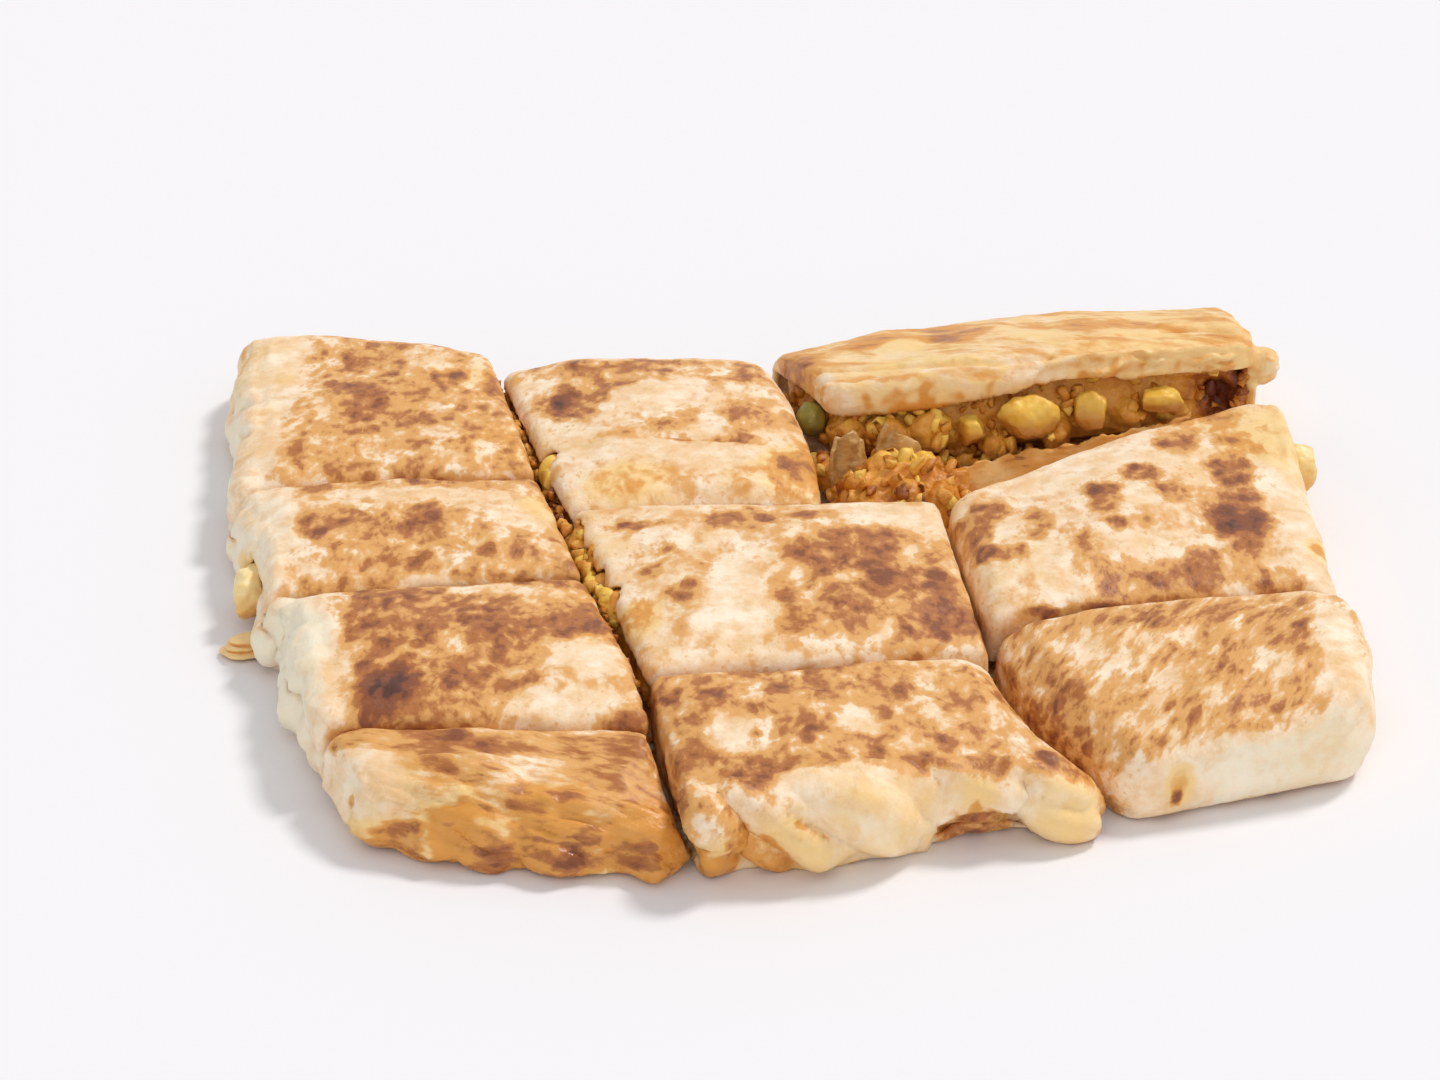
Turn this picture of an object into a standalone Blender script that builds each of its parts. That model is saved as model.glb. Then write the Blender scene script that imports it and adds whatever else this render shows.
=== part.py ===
# Murtabak, cut into ten slices that still lie in the shape of the whole parcel.
# Metres, +Z up, +X to the right and +Y away from the front edge. Sizes below are in millimetres.

import math

import bmesh
import bpy
from mathutils import Matrix, Vector, noise

MM = 0.001

DOUGH_THICKNESS = 2.0
FIT_GAP = 1.6
FOLD_ROOM = 0.6
SOCKET_GAP = 0.35
SLIVER = 0.02

CLOSED_REACH = 9.0
CLOSED_DROP = 8.0
CLOSED_TUCK = 4.0
CUT_REACH = 2.2
PRESS_DEPTH = 1.4
PRESS_REACH = 7.0
FILLING_RECESS = 1.2
RIPPLE = 0.7
RIPPLE_LENGTH = 18.0
FOLD_FADE = 0.12
FOLD_DRIFT = 0.9
CUT_ROUGHNESS = 0.8
LUMP_SWELL = 0.16
SHARP_ANGLE = 50

SKIRT_LEVEL = 0.30
LIP_LEVEL = 0.80
BARE = 1.0

SIDES = ("left", "right", "front", "back")

# Corners are plan positions, heights run back left, back right, front right, front left.
# A side in "closed" is the parcel's folded edge. The other sides are knife cuts, where the top
# layer hangs down to the level in "hang" and the filling shows below it. "roll" is the width of
# a folded edge's rounding and "middle" the number of slices of the mesh across and along.
SLICES = {
    "L1": {
        "back_left": (-114, 67), "back_right": (-58.5, 57),
        "front_right": (-44.0, -3.8), "front_left": (-104, -8.8),
        "heights": (15, 16.5, 17, 17), "dome": 1.2, "middle": (3, 5),
        "closed": ("left", "back"), "roll": {},
        "hang": {"right": LIP_LEVEL, "front": SKIRT_LEVEL},
        "bow": {"back": 3.0}, "pleats": {"left": (3.5, 1.2), "back": (2.5, 0.6)},
        "chunks": {"right": 4},
    },
    "L2": {
        "back_left": (-104, -9.4), "back_right": (-43.8, -4.4),
        "front_right": (-33.0, -45.4), "front_left": (-91.5, -52.4),
        "heights": (17, 17, 17, 16), "dome": 1.4, "middle": (3, 3),
        "closed": ("left",), "roll": {},
        "hang": {"right": LIP_LEVEL, "front": SKIRT_LEVEL, "back": SKIRT_LEVEL},
        "bow": {}, "pleats": {"left": (2.5, 1.8)},
        "chunks": {"right": 4},
    },
    "L3": {
        "back_left": (-90, -53.0), "back_right": (-32.9, -46.0),
        "front_right": (-18.6, -99.8), "front_left": (-77, -98.5),
        "heights": (17.5, 17, 17, 17.5), "dome": 1.0, "middle": (3, 6),
        "closed": ("left",), "roll": {},
        "hang": {"right": LIP_LEVEL, "front": SKIRT_LEVEL, "back": LIP_LEVEL},
        "bow": {"right": 1.2}, "pleats": {"left": (3.5, 2.4)},
        "chunks": {"right": 2},
    },
    "L4": {
        "back_left": (-76.5, -99.2), "back_right": (-18.9, -100.5),
        "front_right": (-11.2, -124), "front_left": (-69, -117),
        "heights": (17, 17, 7, 10.5), "dome": 0.6, "middle": (8, 1),
        "closed": ("left", "front"), "roll": {"front": 6.0, "left": 7.0},
        "hang": {"right": SKIRT_LEVEL, "back": SKIRT_LEVEL},
        "bow": {"front": 3.0, "right": -0.8}, "pleats": {"left": (1.0, 0.8), "front": (4.5, 2.4)},
        "chunks": {},
    },
    "M1": {
        "back_left": (-56.5, 49), "back_right": (-0.5, 54),
        "front_right": (12.5, -15.6), "front_left": (-37.4, -20.2),
        "heights": (16, 16.5, 17, 17.5), "dome": 2.0, "middle": (3, 3),
        "closed": ("back",), "roll": {"front": 5.0},
        "hang": {"left": LIP_LEVEL, "right": SKIRT_LEVEL, "front": SKIRT_LEVEL},
        "bow": {"back": 3.0, "right": 3.0}, "pleats": {"back": (3.0, 0.8)},
        "chunks": {},
    },
    "M2": {
        "back_left": (-36.9, -20.9), "back_right": (35.0, -15.4),
        "front_right": (41.7, -73.8), "front_left": (-20.4, -82.6),
        "heights": (17.5, 17.5, 17, 17.5), "dome": 1.6, "middle": (4, 3),
        "closed": (), "roll": {},
        "hang": {"left": LIP_LEVEL, "right": SKIRT_LEVEL, "front": SKIRT_LEVEL, "back": LIP_LEVEL},
        "bow": {}, "pleats": {},
        "chunks": {},
    },
    "M3": {
        "back_left": (-19.8, -83.3), "back_right": (42.0, -74.5),
        "front_right": (63.0, -109.5), "front_left": (-9.6, -126),
        "heights": (17, 17, 12.5, 17), "dome": 1.2, "middle": (12, 2),
        "closed": ("front",), "roll": {"front": 6.0, "right": 7.0},
        "hang": {"left": SKIRT_LEVEL, "right": SKIRT_LEVEL, "back": SKIRT_LEVEL},
        "bow": {"front": -0.5, "left": 1.6, "right": -3.5}, "pleats": {"front": (4.0, 3.4)},
        "chunks": {},
    },
    "R1": {
        "back_left": (1.0, 57), "back_right": (105.5, 82),
        "front_right": (106, 41.5), "front_left": (14.8, 22.5),
        "heights": (15, 14, 23, 22), "dome": 0.8, "middle": (8, 2),
        "closed": ("back", "right"), "roll": {"right": 5.0, "front": 5.0},
        "hang": {"front": 0.72, "left": 0.72},
        "bow": {"back": 8.0, "front": 3.0}, "pleats": {"back": (5.0, 0.8)},
        "chunks": {},
    },
    "R2": {
        "back_left": (36.8, -15.2), "back_right": (107.5, 23),
        "front_right": (108, -52.6), "front_left": (41.8, -62.2),
        "heights": (17, 21, 17.5, 17), "dome": 1.2, "middle": (4, 4),
        "closed": ("right",), "roll": {"right": 7.0, "left": 4.0},
        "hang": {"left": SKIRT_LEVEL, "back": SKIRT_LEVEL, "front": SKIRT_LEVEL},
        "bow": {"back": 4.6, "left": 0.2, "front": -2.6}, "pleats": {"right": (3.0, 1.0)},
        "chunks": {},
    },
    "R3": {
        "back_left": (42.6, -63.2), "back_right": (109, -53.4),
        "front_right": (107, -95), "front_left": (64.3, -110.7),
        "heights": (16, 18.5, 20, 12.5), "dome": 1.6, "middle": (4, 3),
        "closed": ("right", "front"), "roll": {"front": 5.0, "right": 7.0, "left": 6.0},
        "hang": {"left": SKIRT_LEVEL, "back": SKIRT_LEVEL},
        "bow": {"back": 2.6, "left": 4.6, "right": 2.5},
        "pleats": {"front": (1.5, 0.6), "right": (1.5, 0.5)},
        "chunks": {},
    },
}
# The raised slice is lifted at its open front, which has three levels where the others have two.
# Its top layer hangs lower at the left than at the right of a step.
LIFTED = "R1"
LIFTED_RISE = 3.5
LIFTED_LEVELS = (0.2, 0.46, 0.72)
LIFTED_STEP = 0.1
LIFTED_STEP_START = 0.26
LIFTED_STEP_WIDTH = 0.12
LIFTED_FALL_START = 0.5
LIFTED_FALL_WIDTH = 0.4
USUAL_LEVELS = (SKIRT_LEVEL, LIP_LEVEL)
HOLLOW_START = 0.84
HOLLOW_DEPTH = 7.0
HOLLOW_WIDTH = 0.08

# Place, size and turn of the large pieces in the open front of the raised slice.
LUMPS = {
    "R1_potato_1": ("potato", "R1_filling", (43.8, 23.4, 11.4), (6.6, 6.4, 9.6), 15),
    "R1_potato_2": ("potato", "R1_filling", (55.4, 25.6, 13.0), (14.4, 8.0, 10.0), 8),
    "R1_potato_3": ("potato", "R1_filling", (69.0, 29.2, 12.8), (10.0, 7.4, 9.0), -20),
    "R1_potato_4": ("potato", "R1_filling", (84.0, 33.4, 13.4), (13.0, 6.4, 6.2), 12),
    "R1_chilli": ("chilli", "R1_filling", (10.8, 31.0, 10.0), (7.0, 8.0, 8.0), 0),
    "R2_egg": ("potato", "R2_dough", (108.4, 4.0, 12.5), (7.4, 12.0, 11.0), 0),
    "L2_egg": ("potato", "L2_dough", (-97.3, -35.6, 6.2), (7.6, 15.0, 10.4), -14),
}
# Pieces of filling fused to the core of the raised slice: place and size.
FRONT_CHUNKS = [((26.4, 23.4, 10.4), (8.6, 6.4, 8.0)), ((35.2, 24.4, 10.6), (9.4, 7.0, 9.4)),
                ((19.0, 23.8, 9.6), (7.4, 5.6, 8.6)), ((62.0, 29.4, 7.4), (8.8, 6.6, 7.4)),
                ((49.0, 26.8, 6.2), (9.0, 6.6, 6.4)), ((76.6, 34.2, 9.4), (8.6, 6.0, 9.0)),
                ((87.2, 36.8, 8.8), (8.0, 6.4, 7.6))]
# Pieces of filling that stick out of a cut side, up into a notch in the top layer: place and size.
SEAM_CHUNKS = {
    "M1": [((-41.6, 3.2, 10.6), (6.4, 7.6, 10.0))],
    "M2": [((-34.0, -26.5, 10.2), (7.2, 9.4, 10.4)), ((-31.4, -36.0, 10.2), (6.4, 7.4, 10.0)),
           ((-29.2, -45.0, 10.4), (6.8, 7.0, 9.8)), ((-26.6, -52.8, 10.8), (6.8, 7.0, 10.2))],
}
NUB_CENTRE = (106.9, 45.5, 15.6)
NUB_SIZE = (6.6, 7.6, 8.6)

HEAP_CENTRE = (28.4, 5.0)
HEAP_SIZE = (30.4, 33.0, 25.0)
HEAP_CHUNKS = 9
HEAP_CHUNK_SIZE = (6.0, 10.0)
HEAP_CHUNK_SINK = 0.2
HEAP_SPILL = ((14.6, 15.4, 5.0), (7.4, 10.4, 9.0))
GOLDEN_ANGLE = math.radians(137.5)

# Upright thin pieces: middle, length, height, turn and lean in degrees, depth of their waves, how
# much higher the top edge is at the right end than at the left, and how far the top narrows.
SHEETS = {
    "R1_onion_1": ("onion", (17.9, 10.6, 9.6), 9.6, 13.4, 28, 14, 1.0, 2.0, 0.45),
    "R1_onion_2": ("onion", (28.6, 16.8, 9.8), 9.4, 9.4, -8, 16, 1.0, -1.6, 0.45),
    "R1_base_flap": ("dough", (66.4, 23.4, 5.0), 52.0, 8.4, 17.0, 14, 0.9, 4.4, 0.0),
}
SHEET_THICKNESS = 1.2
SHEET_WAVES = 1.6

FLAP_LAYERS = [((-97.4, -49.4, 0.9), (9.6, 7.2, 1.8)), ((-97.0, -49.0, 2.1), (8.6, 6.2, 1.7)),
               ((-96.8, -49.2, 3.2), (7.4, 5.4, 1.6))]
SMALL_CHUNK = (3.0, 4.4)


def clear_scene():
    for thing in list(bpy.data.objects):
        bpy.data.objects.remove(thing, do_unlink=True)


def new_collection(name):
    collection = bpy.data.collections.new(name)
    bpy.context.scene.collection.children.link(collection)
    return collection


def new_material(name, color, roughness):
    material = bpy.data.materials.new(name)
    material.use_nodes = True
    shader = material.node_tree.nodes["Principled BSDF"]
    shader.inputs["Base Color"].default_value = (*color, 1.0)
    shader.inputs["Roughness"].default_value = roughness
    shader.inputs["Metallic"].default_value = 0.0
    return material


def new_object(name, bm, material):
    mesh = bpy.data.meshes.new(name)
    bm.to_mesh(mesh)
    bm.free()
    mesh.materials.append(material)
    thing = bpy.data.objects.new(name, mesh)
    bpy.data.collections["murtabak"].objects.link(thing)
    return thing


def smooth_step(value):
    value = min(max(value, 0.0), 1.0)
    return value * value * (3.0 - 2.0 * value)


# ---- shape of one slice ----

def side_length(piece, first, second):
    return (Vector(piece[first]) - Vector(piece[second])).length


def piece_width(piece):
    front = side_length(piece, "front_left", "front_right")
    back = side_length(piece, "back_left", "back_right")
    return (front + back) / 2


def piece_depth(piece):
    left = side_length(piece, "front_left", "back_left")
    right = side_length(piece, "front_right", "back_right")
    return (left + right) / 2


def is_closed(piece, side):
    return side in piece["closed"]


def reach_of(piece, side):
    return piece["roll"].get(side, CLOSED_REACH if is_closed(piece, side) else CUT_REACH)


def drop_of(piece, side):
    return CLOSED_DROP if is_closed(piece, side) else reach_of(piece, side)


def grid_cuts(piece, length, low_side, high_side, middle, fine):
    """Fractions of the length where the block is sliced, closer together in the rounded edges."""
    low = reach_of(piece, low_side)
    high = reach_of(piece, high_side)
    cuts = [low, length - high]
    if fine and is_closed(piece, low_side):
        cuts.append(0.4 * low)
    if fine and is_closed(piece, high_side):
        cuts.append(length - 0.4 * high)
    if not fine:
        middle = middle // 2
    span = length - low - high
    for step in range(1, middle + 1):
        cuts.append(low + span * step / (middle + 1))
    return [cut / length for cut in cuts]


def unit_block(cuts_by_axis):
    """A block from 0 to 1, sliced by planes, whose vertices remember their place in it."""
    bm = bmesh.new()
    bmesh.ops.create_cube(bm, size=1.0, matrix=Matrix.Translation((0.5, 0.5, 0.5)))
    for axis, cuts in enumerate(cuts_by_axis):
        normal = Vector((0, 0, 0))
        normal[axis] = 1.0
        for cut in cuts:
            geometry = bm.verts[:] + bm.edges[:] + bm.faces[:]
            bmesh.ops.bisect_plane(bm, geom=geometry, plane_co=normal * cut, plane_no=normal)
    place = bm.verts.layers.float_vector.new("place")
    for vert in bm.verts:
        vert[place] = vert.co.copy()
    return bm


def edge_pull(distance_low, distance_high, reach_low, reach_high):
    """How far into a rounded edge a point is, from -1 at the low side to +1 at the high side."""
    if distance_low < reach_low:
        return distance_low / reach_low - 1.0
    if distance_high < reach_high:
        return 1.0 - distance_high / reach_high
    return 0.0


def corner_blend(values, a, b):
    back_left, back_right, front_right, front_left = values
    back = back_left * (1 - a) + back_right * a
    front = front_left * (1 - a) + front_right * a
    return front * (1 - b) + back * b


def pressed(piece, distances):
    """Depth by which the knife has pressed the top down near the cut sides."""
    depth = 0.0
    for side, distance in distances.items():
        if not is_closed(piece, side):
            depth = max(depth, smooth_step(1.0 - distance / PRESS_REACH))
    return PRESS_DEPTH * depth


def pleat_wave(piece, side, along, seed):
    """In and out of a folded side, with folds of uneven width."""
    count, depth = piece["pleats"].get(side, (0, 0))
    drift = noise.noise(Vector((along * 2.3, seed, 0.4)))
    return depth * math.sin(2 * math.pi * (count * along + FOLD_DRIFT * drift + 0.13 * seed))


def lifted_step(a):
    """Rise and fall along the raised slice of the edge of its top layer."""
    step = smooth_step((a - LIFTED_STEP_START) / LIFTED_STEP_WIDTH)
    fall = smooth_step((a - LIFTED_FALL_START) / LIFTED_FALL_WIDTH)
    return LIFTED_STEP * (step - 0.3 - 0.7 * fall)


def mould(piece, seed, place, margins=None):
    """Position in the finished slice of a point of the unit block, or of a block inside it.

    The margins are the distances by which such an inner block stays clear of the outside."""
    inner = margins is not None
    margins = dict.fromkeys(SIDES + ("upright",), 0.0) | (margins or {})
    width = piece_width(piece)
    depth = piece_depth(piece)
    a = (margins["left"] + place[0] * (width - margins["left"] - margins["right"])) / width
    b = (margins["front"] + place[1] * (depth - margins["front"] - margins["back"])) / depth
    distances = {"left": a * width, "right": (1 - a) * width,
                 "front": b * depth, "back": (1 - b) * depth}
    level = place[2]
    height = corner_blend(piece["heights"], a, b)
    height += piece["dome"] * 16 * a * (1 - a) * b * (1 - b)
    if piece is SLICES[LIFTED]:
        height += LIFTED_RISE * 4 * a * (1 - a) * (1 - b)
        level += lifted_step(a) * 4 * level * (1 - level)
    else:
        height -= pressed(piece, distances)

    side_x = "left" if a < 0.5 else "right"
    side_y = "front" if b < 0.5 else "back"
    reach_x = reach_of(piece, side_x)
    reach_y = reach_of(piece, side_y)
    pull_x = edge_pull(distances["left"], distances["right"], reach_x, reach_x)
    pull_y = edge_pull(distances["front"], distances["back"], reach_y, reach_y)
    share_x = (abs(pull_x) + 1e-6) / (abs(pull_x) + abs(pull_y) + 2e-6)
    drop = drop_of(piece, side_x) * share_x + drop_of(piece, side_y) * (1 - share_x)
    tuck = CLOSED_TUCK * (is_closed(piece, side_x) * share_x + is_closed(piece, side_y) * (1 - share_x))

    z = margins["upright"] + level * (height - 2 * margins["upright"])
    pull_z = 0.0
    rounding = drop
    if z > height - drop:
        pull_z = (z - height + drop) / drop
    elif z < tuck:
        pull_z = z / tuck - 1.0
        rounding = tuck
    pull = Vector((pull_x, pull_y, pull_z))
    squeeze = 1.0
    if pull.length > 1e-6:
        squeeze = max(abs(pull_x), abs(pull_y), abs(pull_z)) / pull.length
    x = a * width - (1 - squeeze) * pull_x * reach_x
    y = b * depth - (1 - squeeze) * pull_y * reach_y
    z -= (1 - squeeze) * pull_z * rounding

    if not inner:
        wall = math.sin(math.pi * min(max(place[2], FOLD_FADE), 1.0 - FOLD_FADE))
        fold_x = pleat_wave(piece, side_x, b, seed) * is_closed(piece, side_x)
        fold_y = pleat_wave(piece, side_y, a, seed) * is_closed(piece, side_y)
        x += math.copysign(1, pull_x) * fold_x * abs(pull_x) ** 3 * wall
        y += math.copysign(1, pull_y) * fold_y * abs(pull_y) ** 3 * wall

    bow = piece["bow"]
    x += 4 * b * (1 - b) * (bow.get("right", 0) * a - bow.get("left", 0) * (1 - a))
    y += 4 * a * (1 - a) * (bow.get("back", 0) * b - bow.get("front", 0) * (1 - b))

    corners = [Vector(piece[name]) for name in ("back_left", "back_right", "front_right", "front_left")]
    plan = corner_blend(corners, x / width, y / depth)
    ripple = noise.noise(Vector((plan.x, plan.y, 7.0 * seed)) / RIPPLE_LENGTH)
    z += 2.0 * RIPPLE * ripple * smooth_step(place[2])
    return Vector((plan.x, plan.y, z)) * MM


def sides_at(place):
    """The sides of the unit block on which a point of it lies."""
    a, b, _ = place
    found = {"left": a < 1e-4, "right": a > 1 - 1e-4, "front": b < 1e-4, "back": b > 1 - 1e-4}
    return [side for side in SIDES if found[side]]


def shows_filling(piece, places):
    """Whether a face of the block lies on a cut side, below the hanging top layer."""
    for side in SIDES:
        if not is_closed(piece, side) and all(side in sides_at(place) for place in places):
            return max(place[2] for place in places) <= piece["hang"].get(side, BARE) + 1e-4
    return False


def cut_block(name, piece, fine=True):
    width_cuts = grid_cuts(piece, piece_width(piece), "left", "right", piece["middle"][0], fine)
    depth_cuts = grid_cuts(piece, piece_depth(piece), "front", "back", piece["middle"][1], fine)
    levels = LIFTED_LEVELS if name == LIFTED else USUAL_LEVELS
    return unit_block((width_cuts, depth_cuts, levels))


def join_flat_base(bm):
    """The flat underside becomes one face."""
    flat = [face for face in bm.faces if all(abs(vert.co.z) < 1e-7 for vert in face.verts)]
    bmesh.ops.dissolve_faces(bm, faces=flat, use_verts=False)


def open_skin(name, piece, seed):
    """The dough's outer surface, open where the filling shows."""
    bm = cut_block(name, piece)
    place = bm.verts.layers.float_vector["place"]
    bare = [face for face in bm.faces if shows_filling(piece, [vert[place] for vert in face.verts])]
    bmesh.ops.delete(bm, geom=bare, context="FACES")
    for vert in bm.verts:
        vert.co = mould(piece, seed, vert[place])
    bm.normal_update()
    return bm


# ---- dough and filling ----

def keep_faces(bm, wanted):
    """Remove the faces for which the test fails on all their places in the block."""
    place = bm.verts.layers.float_vector["place"]
    unwanted = [face for face in bm.faces if not wanted([vert[place][2] for vert in face.verts])]
    bmesh.ops.delete(bm, geom=unwanted, context="FACES")


def make_dough(name, piece, seed, material):
    bm = open_skin(name, piece, seed)
    skins = []
    if piece["closed"]:
        join_flat_base(bm)
        skins.append(new_object(name + "_dough", bm, material))
    else:
        base = bm.copy()
        keep_faces(base, lambda levels: max(levels) < 1e-4)
        join_flat_base(base)
        keep_faces(bm, lambda levels: max(levels) > 1e-4)
        skins.append(new_object(name + "_top_dough", bm, material))
        skins.append(new_object(name + "_base_dough", base, material))
    for thing in skins:
        thickness = thing.modifiers.new("Thickness", "SOLIDIFY")
        thickness.thickness = DOUGH_THICKNESS * MM
        thickness.offset = -1.0
        thickness.use_even_offset = False
    return skins


def hollow_depth(name, place):
    """Extra depth of the cavity at the right end of the raised slice's open front."""
    if name != LIFTED or place[1] > 1e-4:
        return 0.0
    return HOLLOW_DEPTH * smooth_step((place[0] - HOLLOW_START) / HOLLOW_WIDTH)


def margin_of(piece, side):
    """Distance between the outside and the filling, with room for the folds of a closed side."""
    room = DOUGH_THICKNESS + FIT_GAP
    if is_closed(piece, side):
        room += FOLD_ROOM + piece["pleats"].get(side, (0, 0))[1]
    return room


def make_filling(name, piece, seed, material):
    """The filling fits the inside of the dough and shows, uneven, at the cut sides."""
    inside = {side: margin_of(piece, side) for side in SIDES}
    inside["upright"] = DOUGH_THICKNESS + FIT_GAP
    bm = cut_block(name, piece, fine=False)
    place = bm.verts.layers.float_vector["place"]
    for vert in bm.verts:
        spot = vert[place]
        margins = dict(inside)
        faces = [[corner[place] for corner in face.verts] for face in vert.link_faces]
        if all(shows_filling(piece, places) for places in faces):
            rough = noise.noise(Vector((spot.x, spot.y, spot.z)) * 9.0 + Vector((seed, 0, 0)))
            recess = FILLING_RECESS + CUT_ROUGHNESS * rough + hollow_depth(name, spot)
            margins.update(dict.fromkeys(sides_at(spot), recess))
        vert.co = mould(piece, seed, spot, margins)
    return new_object(name + "_filling", bm, material)


def lump_bmesh(centre, size, turn, seed, subdivisions=2, grow=0.0):
    """An uneven rounded piece, with its centre and full size in millimetres."""
    bm = bmesh.new()
    bmesh.ops.create_icosphere(bm, subdivisions=subdivisions, radius=1.0)
    spin = Matrix.Rotation(math.radians(turn), 3, "Z")
    for vert in bm.verts:
        swell = 1.0 + LUMP_SWELL * noise.noise(vert.co * 1.7 + Vector((seed * 3.1, 0.5, seed)))
        half = Vector(size) * 0.5 * swell + Vector((grow, grow, grow))
        local = Vector((vert.co.x * half.x, vert.co.y * half.y, vert.co.z * half.z))
        vert.co = (Vector(centre) + spin @ local) * MM
    return bm


def connected_part(start):
    """All faces that are joined to one over shared edges."""
    found = {start}
    waiting = [start]
    while waiting:
        for edge in waiting.pop().edges:
            fresh = [face for face in edge.link_faces if face not in found]
            found.update(fresh)
            waiting += fresh
    return found


def drop_scraps(bm):
    """Only the largest of several separate parts stays."""
    parts = []
    seen = set()
    for face in bm.faces:
        if face not in seen:
            parts.append(connected_part(face))
            seen |= parts[-1]
    largest = max(parts, key=len)
    scraps = [face for face in bm.faces if face not in largest]
    bmesh.ops.delete(bm, geom=scraps, context="FACES")


def combine(thing, others, operation):
    """Apply one Boolean with a collection of closed pieces, then remove those pieces."""
    group = new_collection(thing.name + "_" + operation.lower())
    for other in others:
        for owner in list(other.users_collection):
            owner.objects.unlink(other)
        group.objects.link(other)
    boolean = thing.modifiers.new("Joined", "BOOLEAN")
    boolean.operation = operation
    boolean.operand_type = "COLLECTION"
    boolean.collection = group
    boolean.solver = "MANIFOLD"
    shape = bpy.data.meshes.new_from_object(thing.evaluated_get(bpy.context.evaluated_depsgraph_get()))
    bm = bmesh.new()
    bm.from_mesh(shape)
    bmesh.ops.remove_doubles(bm, verts=bm.verts, dist=SLIVER * MM)
    bmesh.ops.dissolve_degenerate(bm, dist=SLIVER * MM, edges=bm.edges)
    if operation == "DIFFERENCE":
        drop_scraps(bm)
    bm.to_mesh(shape)
    bm.free()
    thing.modifiers.clear()
    thing.data = shape
    for other in list(group.objects):
        bpy.data.objects.remove(other, do_unlink=True)
    bpy.data.collections.remove(group)


def add_cut_chunks(name, piece, seed, filling, material):
    """Small pieces of filling that stick out of the cut sides."""
    chunks = []
    for side, count in piece["chunks"].items():
        for number in range(count):
            jitter = noise.noise(Vector((number * 5.7, seed * 2.9, 1.3)))
            along = 0.12 + 0.76 * (number + 0.5 + 0.5 * jitter) / count
            size = SMALL_CHUNK[0] + (SMALL_CHUNK[1] - SMALL_CHUNK[0]) * (0.5 + 0.5 * jitter)
            level = 0.36 + 0.05 * noise.noise(Vector((number * 3.3, seed, 9.1)))
            place = (0.0 if side == "left" else 1.0, along, level)
            centre = mould(piece, seed, place, {side: FILLING_RECESS}) / MM
            shape = (size, size * 1.4, size * 1.1)
            bm = lump_bmesh(centre, shape, 40 * number, seed + number, subdivisions=1)
            chunks.append(new_object(name + "_chunk", bm, material))
    if chunks:
        combine(filling, chunks, "UNION")


# ---- pieces of their own ----

def make_lumps(materials):
    """Large pieces, each in a socket of what holds it."""
    for seed, (name, lump) in enumerate(LUMPS.items(), start=20):
        slot, host, centre, size, turn = lump
        socket = lump_bmesh(centre, size, turn, seed, grow=SOCKET_GAP)
        combine(bpy.data.objects[host], [new_object("socket", socket, materials[slot])], "DIFFERENCE")
        new_object(name, lump_bmesh(centre, size, turn, seed), materials[slot])


def add_front_chunks(material):
    chunks = []
    for number, (centre, size) in enumerate(FRONT_CHUNKS):
        chunks.append(new_object("chunk", lump_bmesh(centre, size, 25 * number, 40 + number), material))
    combine(bpy.data.objects["R1_filling"], chunks, "UNION")


def add_seam_chunks(doughs, material):
    for seed, (name, chunks) in enumerate(SEAM_CHUNKS.items(), start=90):
        for operation, host, grow in (("UNION", name + "_filling", 0.0),
                                      ("DIFFERENCE", doughs[name], 2 * SOCKET_GAP)):
            lumps = []
            for number, (centre, size) in enumerate(chunks):
                bm = lump_bmesh(centre, size, 0, seed + number, subdivisions=2, grow=grow)
                lumps.append(new_object("chunk", bm, material))
            combine(bpy.data.objects[host], lumps, operation)


def add_nub(material):
    nub = new_object("nub", lump_bmesh(NUB_CENTRE, NUB_SIZE, 0, 70), material)
    combine(bpy.data.objects["R1_dough"], [nub], "UNION")


def rest_on_floor(bm):
    """Flatten what reaches below the plane that the food lies on."""
    for vert in bm.verts:
        vert.co.z = max(vert.co.z, 0.0)
    flat = [face for face in bm.faces if all(vert.co.z < 1e-7 for vert in face.verts)]
    if flat:
        bmesh.ops.dissolve_faces(bm, faces=flat, use_verts=False)


def heap_height(x, y):
    """Top of the spilled heap at a plan position, in millimetres."""
    reach = ((x - HEAP_CENTRE[0]) / HEAP_SIZE[0] * 2) ** 2 + ((y - HEAP_CENTRE[1]) / HEAP_SIZE[1] * 2) ** 2
    return 0.5 * HEAP_SIZE[2] * math.sqrt(max(1 - reach, 0.0))


def make_heap(material):
    """Filling that has spilled between the raised slice and its neighbours."""
    bm = lump_bmesh((*HEAP_CENTRE, 0), HEAP_SIZE, 0, 50)
    rest_on_floor(bm)
    heap = new_object("R1_spilled_filling", bm, material)
    chunks = []
    for number in range(HEAP_CHUNKS):
        angle = number * GOLDEN_ANGLE
        reach = 0.8 * math.sqrt((number + 0.5) / HEAP_CHUNKS)
        x = HEAP_CENTRE[0] + 0.5 * HEAP_SIZE[0] * reach * math.cos(angle)
        y = HEAP_CENTRE[1] + 0.5 * HEAP_SIZE[1] * reach * math.sin(angle)
        share = 0.5 + 0.5 * noise.noise(Vector((number * 4.1, 2.2, 0.7)))
        size = HEAP_CHUNK_SIZE[0] + (HEAP_CHUNK_SIZE[1] - HEAP_CHUNK_SIZE[0]) * share
        centre = (x, y, heap_height(x, y) - HEAP_CHUNK_SINK * size)
        bm = lump_bmesh(centre, (size, size * 0.75, size * 0.8), 50 * number, 60 + number)
        chunks.append(new_object("chunk", bm, material))
    chunks.append(new_object("chunk", lump_bmesh(*HEAP_SPILL, 0, 59), material))
    combine(heap, chunks, "UNION")
    return heap


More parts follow.
